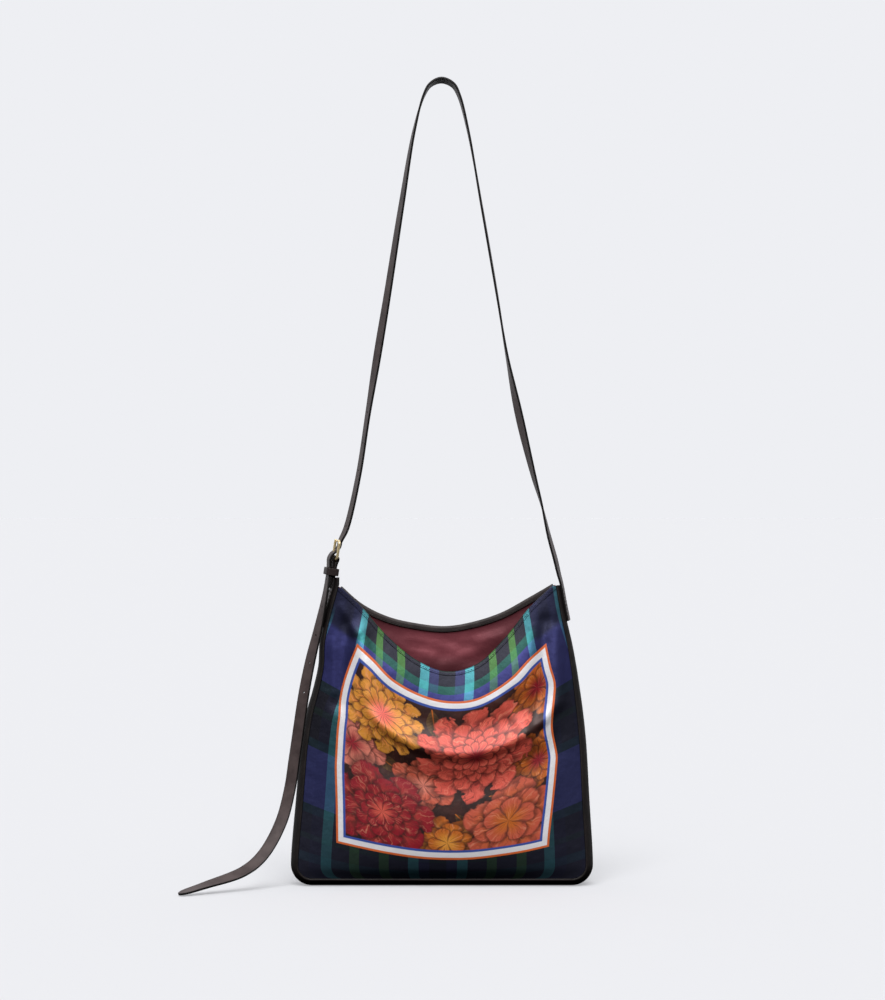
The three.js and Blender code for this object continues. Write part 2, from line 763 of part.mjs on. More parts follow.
function leatherStrap() {
  const stations = strapStations();
  const end = stations[stations.length - 1].run;
  const section = bandSection(STRAP_THICK, STRAP_WIDTH, STRAP_BEVEL);
  const rings = stations.map((station) => {
    const wide = station.wide.clone().multiplyScalar(tipShare(end - station.run));
    return ringAt(station.place, station.face, wide, section);
  });
  const clearance = prongRod(PRONG_WIRE + PRONG_PLAY);
  clearance.applyMatrix4(hardware.matrix);
  let solid = toSolid(tube(rings, section)).subtract(toSolid(clearance));
  const middle = prongRun(stations);
  for (let k = -HOLES_EACH_WAY; k <= HOLES_EACH_WAY; k += 1) {
    if (k !== 0) {
      solid = solid.subtract(holePunch(strapAt(stations, middle + k * HOLE_SPACING)));
    }
  }
  return fromSolid(solid);
}

// Closed wire round a rectangle with rounded corners, heel bar below and top bar above.
function buckleFrame() {
  const cornerSteps = 4;
  const section = roundSection(FRAME_WIRE);
  const insideY = FRAME_HALF_WIDTH - FRAME_CORNER;
  const insideZ = FRAME_HALF_HEIGHT - FRAME_CORNER;
  const rings = [];
  for (let quarter = 0; quarter < 4; quarter += 1) {
    for (let k = 0; k <= cornerSteps; k += 1) {
      const angle = ((quarter + k / cornerSteps) * Math.PI) / 2;
      const away = new THREE.Vector3(0, Math.cos(angle), Math.sin(angle));
      const middleY = insideY * (quarter === 0 || quarter === 3 ? 1 : -1);
      const middleZ = insideZ * (quarter < 2 ? 1 : -1);
      const centre = new THREE.Vector3(0, middleY, middleZ).addScaledVector(away, FRAME_CORNER);
      rings.push(ringAt(centre, away, new THREE.Vector3(-1, 0, 0), section));
    }
  }
  return tube(rings, section, true);
}

function prongOut() {
  return FRAME_WIRE + SEAM_GAP + PRONG_WIRE;
}

// Rod that hooks under the heel bar and runs straight up to rest on the top bar.
function prongRod(radius) {
  const hookSteps = 9;
  const hookTurn = 1.45 * Math.PI;
  const out = prongOut();
  const section = roundSection(radius);
  const spots = counted(hookSteps, (k) => {
    const angle = -hookTurn + (k * hookTurn) / hookSteps;
    const place = new THREE.Vector3(out * Math.cos(angle), 0, -FRAME_HALF_HEIGHT + out * Math.sin(angle));
    return { place, away: new THREE.Vector3(Math.cos(angle), 0, Math.sin(angle)) };
  });
  const straight = [-FRAME_HALF_HEIGHT, 0, FRAME_HALF_HEIGHT + PRONG_OVERHANG].map((up) => ({
    place: new THREE.Vector3(out, 0, up),
    away: new THREE.Vector3(1, 0, 0),
  }));
  const across = new THREE.Vector3(0, 1, 0);
  const rings = [...spots, ...straight].map((spot) => ringAt(spot.place, spot.away, across, section));
  return tube(rings, section);
}

// Tab from the outside of the left gusset up round the heel bar and down again, with a slot for the prong.
function buckleTab() {
  const layer = SEAM_GAP / 2 + TAB_THICK / 2;
  const bend = FRAME_WIRE + SEAM_GAP + TAB_THICK / 2;
  const seat = (height) => ({
    x: leftAt(height) - TAB_SEAT.gap - TAB_THICK / 2,
    depth: 0,
    height,
    roll: TAB_SEAT.roll,
  });
  const bendRows = counted(7, (k) => {
    const angle = Math.PI - (k * Math.PI) / 6;
    return { out: bend * Math.cos(angle), up: -FRAME_HALF_HEIGHT + bend * Math.sin(angle) };
  });
  const upper = [
    { out: -layer, up: -30 },
    { out: -layer, up: -22 },
    { out: -layer - 0.4, up: -15 },
    ...bendRows,
    { out: layer + 0.4, up: -15 },
    { out: layer, up: -22 },
    { out: layer, up: -40 },
  ];
  const rows = [seat(TAB_SEAT.end), seat(TAB_SEAT.middle), seat(LEFT_TOP + 1), ...buckleRows(upper)];
  const section = bandSection(TAB_THICK, STRAP_WIDTH, STRAP_BEVEL);
  const rings = bandStations(rows, STRAP_STEP).map((station) =>
    ringAt(station.place, station.face, station.wide, section)
  );
  const slot = closedShape(new THREE.BoxGeometry(4 * bend, TAB_SLOT.width, TAB_SLOT.height));
  slot.translate(0, 0, -FRAME_HALF_HEIGHT + TAB_SLOT.rise);
  slot.applyMatrix4(hardware.matrix);
  return fromSolid(toSolid(tube(rings, section)).subtract(toSolid(slot)));
}

// Loop of leather round the tab and the tail.
function strapKeeper() {
  const half = STRAP_WIDTH / 2 + KEEPER.play;
  const rectangle = (grow) => [
    new THREE.Vector2(KEEPER.inside - grow, -half - grow),
    new THREE.Vector2(KEEPER.outside + grow, -half - grow),
    new THREE.Vector2(KEEPER.outside + grow, half + grow),
    new THREE.Vector2(KEEPER.inside - grow, half + grow),
  ];
  const shape = new THREE.Shape(rectangle(KEEPER.wall));
  shape.holes.push(new THREE.Path(rectangle(0).reverse()));
  const loop = new THREE.ExtrudeGeometry(shape, { depth: KEEPER.height, bevelEnabled: false });
  loop.translate(0, 0, -KEEPER.down - KEEPER.height / 2);
  return closedShape(loop);
}

function piece(name, geometry, material) {
  const mesh = new THREE.Mesh(geometry, material);
  mesh.name = name;
  return mesh;
}

hardware.add(piece("buckle_frame", buckleFrame(), MATERIALS.brass));
hardware.add(piece("buckle_prong", prongRod(PRONG_WIRE), MATERIALS.brass));
hardware.add(piece("keeper", strapKeeper(), MATERIALS.leather));

const bag = new THREE.Group();
bag.position.z = -HANG_HEIGHT;
bag.add(piece("front_panel", panelWall(FRONT), MATERIALS.satin));
bag.add(piece("back_panel", panelWall(BACK), MATERIALS.satin));
bag.add(piece("lining", liningPouch(), MATERIALS.lining));
bag.add(piece("gusset", gussetStrip(), MATERIALS.leather));
bag.add(piece("front_binding", mouthBinding(FRONT, FRONT_BINDING), MATERIALS.satin));
bag.add(piece("back_binding", mouthBinding(BACK, BACK_BINDING), MATERIALS.leather));
bag.add(piece("strap", leatherStrap(), MATERIALS.leather));
bag.add(piece("buckle_tab", buckleTab(), MATERIALS.leather));
bag.add(hardware);

const part = new THREE.Group();
part.add(bag);
export default part;
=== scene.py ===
"""Looks of the slim checked shoulder bag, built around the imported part.

Tables are in millimetres, with heights above the floor that the bag stands on, as in the part's source.
Meshes are made from them in metres, in the part's own frame, whose origin is under the strap's arch.
"""

import math
from dataclasses import dataclass
from typing import Callable

import bpy
import numpy as np
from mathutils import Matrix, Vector

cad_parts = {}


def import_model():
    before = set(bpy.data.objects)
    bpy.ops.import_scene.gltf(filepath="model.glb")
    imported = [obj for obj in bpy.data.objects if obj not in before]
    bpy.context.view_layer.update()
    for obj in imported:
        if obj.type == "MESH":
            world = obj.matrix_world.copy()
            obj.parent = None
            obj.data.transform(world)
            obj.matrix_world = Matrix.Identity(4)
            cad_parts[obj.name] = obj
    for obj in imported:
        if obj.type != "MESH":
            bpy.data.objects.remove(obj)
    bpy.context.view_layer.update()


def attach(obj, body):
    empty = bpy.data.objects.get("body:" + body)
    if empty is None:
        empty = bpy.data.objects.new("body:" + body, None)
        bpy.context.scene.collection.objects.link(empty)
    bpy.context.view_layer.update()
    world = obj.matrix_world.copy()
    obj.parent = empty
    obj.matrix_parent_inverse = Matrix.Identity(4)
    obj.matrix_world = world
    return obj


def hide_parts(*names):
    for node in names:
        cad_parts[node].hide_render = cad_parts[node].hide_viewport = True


MM = 0.001

# Sizes of the whole bag
HANG_HEIGHT = 835.0
CORNER_RADIUS = 22.0
LEFT_TOP = 309.0
RIGHT_TOP = 311.0
GUSSET_LEFT_END = 318.8

# Thicknesses and clearances
CLOTH = 1.2
LINING = 1.0
LEATHER = 2.0
SEAM_GAP = 0.35
SEAT_GAP = 0.8
RIM_LIP = 1.2

# Lining: lift of its foot above the panels' foot, its slack, and where below the mouth the slack begins
LINING_LIFT = 1.5
LINING_SLACK = 1.2
LINING_CALM = (8.0, 18.0)

# Gusset's edges: how far they round out, where they begin to turn in and how that grows
LIP_BULGE = 0.35
TUCK_START = 0.4
TUCK_POWER = 1.9

# Bindings on the mouth
HEM = {"wall": 0.6, "leg": 2.8}
BAND = {"wall": 1.1, "leg": 2.9}
BINDING_GAP = 0.3
BINDING_END = 0.985
BINDING_ARCH = 0.75
HEM_WEAVE_DROP = 3.0
RISE_STEP = 2.0

# Strap, tab, buckle and keeper
STRAP_WIDTH = 13.0
STRAP_THICK = 2.2
TAB_THICK = 2.0
EDGE_ROUND = 0.55
TIP_LENGTH = 14.0
TIP_END_SHARE = 0.18
HOLE_RADIUS = 1.1
HOLE_SPACING = 30.0
HOLES_EACH_WAY = 5
SEAT_RISE = 1.0
STRAP_SEAT = (274.0, 292.0)
STRAP_SEAT_ROLL = 11.0
TAB_SEAT = (268.0, 290.0)
TAB_SEAT_GAP = 1.1
TAB_SEAT_ROLL = -15.0
TAB_SLOT = (14.0, 3.2, 9.5)
TAB_SLOT_RISE = 0.2
TAB_LOWER = (-30, -22, -15)
TAB_UPPER = (-15, -22, -40)
TAB_SPREAD = (0, 0, 0.4)
STRAP_CROSSING = -3.0
BUCKLE_PLACE = np.array([-109.5, 0.0, 347.5])
BUCKLE_TURN = math.radians(16)
BUCKLE_LEAN = math.radians(9)
FRAME_HALF_WIDTH = 9.2
FRAME_HALF_HEIGHT = 9.5
FRAME_WIRE = 1.4
FRAME_CORNER = 3.0
PRONG_WIRE = 0.9
PRONG_OVERHANG = 1.6
PRONG_HOOK = 1.45 * math.pi
PRONG_OUT = FRAME_WIRE + SEAM_GAP + PRONG_WIRE
KEEPER_DOWN = 23.0
KEEPER_HEIGHT = 7.5
KEEPER_WALL = 1.6
KEEPER_INSIDE = -3.4
KEEPER_OUTSIDE = 6.6
KEEPER_PLAY = 0.7
KEEPER_CORNER = 2.0
KEEPER_EDGE = 0.4

# Stitches: each one's size, what of it is sunk and how thin its ends are, and how the rows lie
STITCH_LENGTH = 2.4
STITCH_RADIUS = 0.28
STITCH_SUNK = 0.6
STITCH_END = 0.35
STITCH_STEP = 3.4
STITCH_DOWN = 1.6
STITCH_ROW = 4.3
STRAP_STITCHES = range(278, 308, 4)
TAB_STITCHES = range(272, 308, 4)

# Columns and rows of the cloth's grids, and how much the rows grow upwards
FRONT_GRID = (190, 170)
BACK_GRID = (120, 110)
LINING_GRID = (90, 80)
ROW_GROWTH = 0.3

# Angle in degrees from which an edge of a mesh is shown sharp
SHARP_EDGE = 35

# Floor, card and camera. The card has a half width, a height and a distance behind the bag.
FLOOR_REACH = 60000.0
FLOOR_BELOW = 0.3
CARD = (4000.0, 3000.0, 1200.0)
CAMERA_AWAY = 3000.0
CAMERA_HEIGHT = 399.4
FRAME_TALL = 1040.0
FRAME_MIDDLE = 1.04


def table(names, *rows):
    """Rows of numbers as columns with names."""
    return dict(zip(names.split(), np.array(rows, float).T))


# Outline of the body: where its two sides lie, how deep it is and how far the gusset's edges turn in
BODY = table(
    "height left right depth tuck",
    (0, -156, 157, 40, 6),
    (30, -156, 157, 40, 6),
    (90, -151, 153.5, 37, 6),
    (145, -146, 150.5, 32, 5.5),
    (180, -140, 147, 28, 5),
    (205, -133, 143.5, 25.5, 4.5),
    (228, -128, 140, 23, 4),
    (252, -126.5, 135.5, 20, 3.5),
    (280, -120, 129, 17, 3),
    (312, -111, 123, 14, 2.5),
)

# How far the middle of each panel stands out beyond its side seams
FULLNESS = table(
    "height front back",
    (8, 0, 0),
    (20, 9, 7),
    (50, 14, 10),
    (100, 15, 12),
    (150, 17, 12),
    (200, 18, 12),
    (230, 17, 13.5),
    (265, 11, 12.5),
    (310, 2, 4),
)

# Height of the mouth edges from the left corner (-1) to the right corner (1)
MOUTH = table(
    "across front back",
    (-1, LEFT_TOP, LEFT_TOP),
    (-0.75, 286.5, 288.5),
    (-0.5, 257.5, 275),
    (-0.25, 232, 268),
    (0, 220.5, 265),
    (0.25, 228.5, 270),
    (0.5, 255, 280),
    (0.75, 287, 295.5),
    (1, RIGHT_TOP, RIGHT_TOP),
)

# How far the front's mouth edge leans back in, how far below the edge that starts and how it grows
FRONT_LEAN = 10.0
LEAN_REACH = 48.0
LEAN_POWER = 1.4

# How a panel's swell falls off to its sides, and where its folds calm down near the seams and the foot
PILLOW_POWER = 2.2
CALM_POWER = 6
CALM_HEIGHT = 45.0

# Swags: folds that hang in a curve from side to side, lowest at one place across and climbing to the sides,
# where they fade out
SWAG_FADE = (0.55, 0.85)
FRONT_SWAGS = table(
    "low at climb bulge spread",
    (136, 0.12, 88, 6, 15),
    (106, 0.12, 80, -3, 18),
    (166, 0.12, 88, -2.5, 15),
    (138, 0.12, 88, 1.8, 6),
    (129, 0.12, 88, -1.8, 6),
)
BACK_SWAGS = table(
    "low at climb bulge spread",
    (190, 0, 50, 4, 18),
    (150, 0, 40, -2, 18),
)

# Straight folds that run down from the corners of the mouth, the last ones fine creases
FRONT_FOLDS = table(
    "from_x from_height to_x to_height bulge spread",
    (109, 272, 98, 165, -4, 9),
    (120, 262, 122, 190, 3.5, 9),
    (-100, 270, -106, 190, -3.5, 9),
    (-84, 262, -76, 200, 3, 9),
    (118, 282, 110, 258, 1.2, 4),
    (-105, 290, -89, 262, 1.4, 4.5),
    (-113, 252, -111, 200, 1.2, 4),
    (60, 190, 102, 148, 1.2, 6),
)
BACK_FOLDS = table(
    "from_x from_height to_x to_height bulge spread",
    (100, 285, 84, 200, 2.5, 12),
    (-88, 280, -76, 200, 2.5, 12),
)

# Right leg and arch of the strap, then the left leg down to the buckle.
# A roll above zero turns the outer face towards the front.
STRAP_LOOP = table(
    "x depth height roll",
    (122.3, 0, 321.5, 14),
    (118.6, 0, 337, 16),
    (111.5, 0, 363, 13),
    (104.3, 0, 394, 0),
    (95.7, 0, 425, -16),
    (80.6, 0, 488, -31),
    (68, 0, 550, -4),
    (57.7, 0, 613, 4),
    (41.6, 0, 706, 4),
    (27.6, 0, 784, -2),
    (18.2, 0, 820, -8),
    (12, 0, 831, -13),
    (0, 0, 836.1, -17),
    (-11.4, 0, 831.4, -9),
    (-18, 0, 821, -2),
    (-28.4, 0, 784, 9),
    (-41.6, 0, 706, 22),
    (-56.2, 0, 613, 30),
    (-66.6, 0, 550, 34),
    (-76.6, 0, 488, 20),
    (-86.3, 0, 425, 20),
    (-99, 0, 370, 22),
)

# Way of the strap through the buckle, seen from the buckle: out from the frame's plane and up from its middle
STRAP_IN_BUCKLE = table(
    "out up",
    (-2.85, 9.5),
    (-2.3, 3.5),
    (0.8, -1.2),
    (4.3, -5.2),
    (5.9, -9.8),
    (5.3, -15),
    (4.4, -23),
)

# Tip of the prong: how far each ring lies from its end and how thin it is, as shares of the wire's radius
PRONG_TIP = table(
    "left thin",
    (0.5, 0.87),
    (0.2, 0.6),
    (0.05, 0.31),
)

# Free tail from the keeper to its tip on the floor
STRAP_TAIL = table(
    "x depth height roll",
    (-120.9, -5, 300, 22),
    (-127.9, -8, 266, 38),
    (-135.8, -10.5, 233, 50),
    (-142.2, -12.5, 200, 57),
    (-151.8, -15.5, 134, 62),
    (-156.8, -19, 100, 64),
    (-165.5, -27, 67, 66),
    (-183, -42, 35.5, 60),
    (-201.6, -55, 20.5, 45),
    (-240, -76, 8.6, 22),
    (-265, -91, 1.9, 12),
)

# Outline of the printed square on the front: its sides by height, and its ends by the share across it
PRINT_SIDES = table(
    "height left right",
    (28, -108, 110),
    (53.5, -108.5, 111.6),
    (86, -109, 115.4),
    (123, -110, 119.2),
    (136, -109.5, 119.8),
    (162, -108, 115),
    (177, -106.4, 115.2),
    (193, -105.5, 117.1),
    (210, -102, 118),
    (227, -96.5, 113.5),
    (251, -87, 108.5),
)
PRINT_ENDS = table(
    "share bottom top",
    (0, 46, 251),
    (0.12, 40.3, 234),
    (0.25, 34.8, 212.3),
    (0.4, 30.3, 197),
    (0.53, 29, 191.7),
    (0.65, 29.7, 196),
    (0.8, 33.6, 217.3),
    (0.9, 37.2, 236),
    (1, 42, 251),
)
PRINT_WIDTH = 215.0
PRINT_HEIGHT = 205.0
PRINT_MARGIN = 1.0

# How the checks lie on the cloth. Near the mouth they are gathered towards the middle. Further down they are
# shifted to one side, and the stripes across the cloth sag.
WEAVE = {
    "upper": (0.55, 0.95),
    "middle": 0.84,
    "growth": 0.31,
    "most": 1.06,
    "lower": 0.95,
    "shift": 0.029,
    "sag": 0.036,
    "sag_reach": 0.74,
    "sag_fade": (0.1, 0.9),
}


def reading(rows, along, column):
    """A smooth curve through one column of a table, read at places along another column."""
    places = rows[along]
    values = rows[column]
    last = len(places) - 1
    before = np.maximum(np.arange(last + 1) - 1, 0)
    after = np.minimum(np.arange(last + 1) + 1, last)
    slopes = (values[after] - values[before]) / (places[after] - places[before])

    def read(place):
        held = np.clip(place, places[0], places[-1])
        end = np.clip(np.searchsorted(places, held), 1, last)
        start = end - 1
        width = places[end] - places[start]
        share = (held - places[start]) / width
        return cubic(share, values[start], values[end], slopes[start] * width, slopes[end] * width)

    return read


def cubic(t, first, last, leave, arrive):
    """A curve from one value to another that leaves and arrives at given slopes."""
    start = first * (1 + 2 * t) * (1 - t) ** 2 + leave * t * (1 - t) ** 2
    return start + last * t * t * (3 - 2 * t) + arrive * t * t * (t - 1)


left_at = reading(BODY, "height", "left")
right_at = reading(BODY, "height", "right")
depth_at = reading(BODY, "height", "depth")
tuck_at = reading(BODY, "height", "tuck")
print_left = reading(PRINT_SIDES, "height", "left")
print_right = reading(PRINT_SIDES, "height", "right")
print_bottom = reading(PRINT_ENDS, "share", "bottom")
print_top = reading(PRINT_ENDS, "share", "top")

PANEL_FOOT = float(tuck_at(0)) + LEATHER + SEAM_GAP
LINING_INSET = CLOTH / 2 + SEAM_GAP + LINING / 2
LINING_FOOT = PANEL_FOOT + LINING_LIFT


@dataclass(frozen=True)
class Panel:
    """One cloth side of the bag. The front lies on side -1 and the back on side 1."""

    side: int
    lean: float
    fullness: Callable
    mouth: Callable
    swags: dict
    folds: dict


def make_panel(side, name, lean, swags, folds):
    return Panel(side, lean, reading(FULLNESS, "height", name), reading(MOUTH, "across", name), swags, folds)


FRONT = make_panel(-1, "front", FRONT_LEAN, FRONT_SWAGS, FRONT_FOLDS)
BACK = make_panel(1, "back", 0.0, BACK_SWAGS, BACK_FOLDS)


def smoothstep(value, low, high):
    t = np.clip((value - low) / (high - low), 0, 1)
    return t * t * (3 - 2 * t)


def rows_of(columns):
    """The rows of a table as dictionaries."""
    names = list(columns)
    return [dict(zip(names, row)) for row in zip(*columns.values())]


def unit(vectors):
    return vectors / np.linalg.norm(vectors, axis=-1, keepdims=True)


def distance_along(places):
    """Distance of each place from the first one, along the line through them."""
    return np.concatenate([[0], np.cumsum(np.linalg.norm(np.diff(places, axis=0), axis=1))])


# Cloth panels


def panel_span(height):
    """Middle and half width of the panels at a height, inside the gusset and round its lower corners."""
    inset = tuck_at(height) + LEATHER + SEAM_GAP
    inner = CORNER_RADIUS - PANEL_FOOT
    below = np.clip((CORNER_RADIUS - height) / inner, 0, 1)
    pull = inner * (1 - np.sqrt(1 - below**2))
    left = left_at(height) + inset + pull
    right = right_at(height) - inset - pull
    return (left + right) / 2, (right - left) / 2


def fold_swell(folds, x, height):
    """Bulges of straight folds, added up."""
    swell = np.zeros_like(height)
    for fold in rows_of(folds):
        run_x = fold["to_x"] - fold["from_x"]
        run_height = fold["to_height"] - fold["from_height"]
        off_x = x - fold["from_x"]
        off_height = height - fold["from_height"]
        share = np.clip((off_x * run_x + off_height * run_height) / (run_x**2 + run_height**2), 0, 1)
        away = np.hypot(off_x - share * run_x, off_height - share * run_height)
        swell += fold["bulge"] * np.exp(-((away / fold["spread"]) ** 2))
    return swell


def relief(panel, across, x, height):
    """Lean, swags and folds of a panel, faded out at its seams."""
    near = np.clip(1 - (panel.mouth(across) - height) / LEAN_REACH, 0, 1)
    rise = fold_swell(panel.folds, x, height) - panel.lean * (1 - across**2) * near**LEAN_POWER
    for swag in rows_of(panel.swags):
        aside = np.abs(across - swag["at"])
        held = 1 - smoothstep(aside, *SWAG_FADE)
        off = (height - swag["low"] - swag["climb"] * aside**2) / swag["spread"]
        rise += held * swag["bulge"] * np.exp(-(off**2))
    return rise * (1 - across**CALM_POWER) * smoothstep(height, PANEL_FOOT, CALM_HEIGHT)


def panel_points(panel, across, height):
    """Middle of a panel's cloth: across runs from the left seam (-1) to the right seam (1)."""
    middle, half = panel_span(height)
    x = middle + across * half
    seam = depth_at(height) / 2 - RIM_LIP - CLOTH / 2
    pillow = panel.fullness(height) * (1 - np.abs(across) ** PILLOW_POWER)
    out = seam + pillow + relief(panel, across, x, height)
    return np.stack([x, panel.side * out, height], axis=-1)


def panel_places(panel, columns, rows):
    """Across and height of each grid corner, row by row upwards, columns anticlockwise seen from outside."""
    across = -panel.side * np.linspace(-1, 1, columns + 1)
    share = np.linspace(0, 1, rows + 1)
    share += ROW_GROWTH * (share**2 - share)
    across, share = np.meshgrid(across, share)
    return across, PANEL_FOOT + share * (panel.mouth(across) - PANEL_FOOT)


def grid_normals(points):
    """Outward directions of a grid whose columns run anticlockwise seen from outside."""
    return unit(np.cross(np.gradient(points, axis=1), np.gradient(points, axis=0)))


# Meshes


def grid_faces(index):
    """Quads of a grid of vertex numbers."""
    return np.stack([index[:-1, :-1], index[:-1, 1:], index[1:, 1:], index[1:, :-1]], axis=-1).reshape(-1, 4)


def strip_faces(first, second):
    """Quads between two lines of vertex numbers."""
    return np.stack([first[:-1], first[1:], second[1:], second[:-1]], axis=-1)


def make_object(name, points, faces, coordinates=None, sharp=SHARP_EDGE):
    """A piece from points in millimetres above the floor, with surface coordinates for its materials."""
    placed = (np.asarray(points) - (0, 0, HANG_HEIGHT)) * MM
    mesh = bpy.data.meshes.new(name)
    mesh.from_pydata(placed.tolist(), [], [list(map(int, face)) for face in faces])
    mesh.validate()
    mesh.polygons.foreach_set("use_smooth", np.ones(len(mesh.polygons), bool))
    mesh.set_sharp_from_angle(angle=math.radians(sharp))
    corners = np.empty(len(mesh.loops), np.int32)
    mesh.loops.foreach_get("vertex_index", corners)
    for label, values in (coordinates or {}).items():
        layer = mesh.uv_layers.new(name=label)
        layer.data.foreach_set("uv", np.asarray(values, np.float32)[corners].ravel())
    piece = bpy.data.objects.new(name, mesh)
    bpy.context.scene.collection.objects.link(piece)
    return piece


def wall_faces(shape):
    """Faces of a thin closed wall whose outer grid of points is followed by its inner grid."""
    count = shape[0] * shape[1]
    outer = np.arange(count).reshape(shape)
    inner = outer + count
    return np.concatenate(
        [
            grid_faces(outer),
            grid_faces(inner)[:, ::-1],
            strip_faces(inner[0], outer[0]),
            strip_faces(outer[-1], inner[-1]),
            strip_faces(outer[:, 0], inner[:, 0]),
            strip_faces(inner[:, -1], outer[:, -1]),
        ]
    )


def sweep(rings, closed=False):
    """Points and faces of a tube through rings, run back into its first ring or with a cap on each end."""
    stations, sides = rings.shape[:2]
    index = np.arange(stations * sides).reshape(stations, sides)
    wrapped = np.pad(index, ((0, int(closed)), (0, 1)), mode="wrap")
    faces = [tuple(face) for face in grid_faces(wrapped)]
    if not closed:
        faces.append(tuple(index[0][::-1]))
        faces.append(tuple(index[-1]))
    return rings.reshape(-1, 3), faces


def gathered(parts):
    """Points and faces of several meshes as one."""
    points = []
    faces = []
    for more, links in parts:
        offset = sum(map(len, points))
        points.append(more)
        faces.extend(tuple(corner + offset for corner in link) for link in links)
    return np.concatenate(points), faces


def rings_along(places, first, second, section):
    """A section set out at each place along two directions, each of them shared or given for every place."""
    return places[:, None] + section[:, :1] * first[..., None, :] + section[:, 1:] * second[..., None, :]


def round_section(radius, sides=16):
    angle = 2 * np.pi * np.arange(sides) / sides
    return radius * np.stack([np.cos(angle), np.sin(angle)], axis=-1)


def rounded_path(half_a, half_b, corner, steps):
    """Places anticlockwise round a rectangle with round corners, and the directions away from its middle."""
    places = []
    away = []
    for quarter, (sign_a, sign_b) in enumerate([(1, 1), (-1, 1), (-1, -1), (1, -1)]):
        angle = (quarter + np.linspace(0, 1, steps + 1)) * np.pi / 2
        out = np.stack([np.cos(angle), np.sin(angle)], axis=-1)
        places.append(np.array([sign_a * (half_a - corner), sign_b * (half_b - corner)]) + corner * out)
        away.append(out)
    return np.concatenate(places), np.concatenate(away)


def rounded_box(half_x, half_y, corner, face_steps, corner_steps=4):
    """A rectangle with round corners, anticlockwise, with extra points along its two long sides."""
    outline = rounded_path(half_x, half_y, corner, corner_steps)[0].reshape(4, -1, 2)
    sides = []
    for here, after in zip(outline, np.roll(outline, -1, axis=0)):
        sides.append(here)
        run_x, run_y = np.abs(after[0] - here[-1])
        if run_y > run_x:
            sides.append(np.linspace(here[-1], after[0], face_steps + 1)[1:-1])
    return np.concatenate(sides)


# Surface coordinates of the cloth


def weave_place(panel, across, height):
    """Where a place lies in the checks: across the cloth, and up it as a share of the way to the mouth."""
    share = (height - PANEL_FOOT) / (panel.mouth(across) - PANEL_FOOT)
    upper = smoothstep(share, *WEAVE["upper"])
    gather = np.minimum(WEAVE["middle"] + WEAVE["growth"] * np.abs(across), WEAVE["most"])
    stretch = WEAVE["lower"] + (gather - WEAVE["lower"]) * upper
    hang = 1 - (across / WEAVE["sag_reach"]) ** 2
    sag = WEAVE["sag"] * hang * (1 - smoothstep(share, *WEAVE["sag_fade"]))
    return np.stack([(across + WEAVE["shift"] * (1 - upper)) * stretch, share + sag], axis=-1)


def slope(curve, place, step):
    """Slope of a curve, from a step to each side of a place."""
    return (curve(place + step) - curve(place - step)) / (2 * step)


def print_place(x, height):
    """Distances in from the print's left, right, top and bottom, and the place on its flat picture."""
    left = print_left(height)
    right = print_right(height)
    share = (x - left) / (right - left)
    top = print_top(share)
    bottom = print_bottom(share)
    from_left = (x - left) / np.hypot(1, slope(print_left, height, 1))
    from_right = (right - x) / np.hypot(1, slope(print_right, height, 1))
    from_top = (top - height) / np.hypot(1, slope(print_top, share, 0.01) / (right - left))
    upward = (height - bottom) / (top - bottom)
    sides = np.stack([from_left, from_right], axis=-1)
    ends = np.stack([from_top, height - bottom], axis=-1)
    return sides, ends, np.stack([share * PRINT_WIDTH, upward * PRINT_HEIGHT], axis=-1)


def doubled(values):
    """Surface coordinates of a wall's outer grid, given to its inner grid as well."""
    flat = values.reshape(-1, values.shape[-1])
    return np.concatenate([flat, flat])


# Materials


def colour(red, green, blue):
    """A display colour from 0 to 255 as the linear colour that shaders take."""
    share = np.array([red, green, blue]) / 255
    linear = np.where(share <= 0.04045, share / 12.92, ((share + 0.055) / 1.055) ** 2.4)
    return (*linear.tolist(), 1.0)


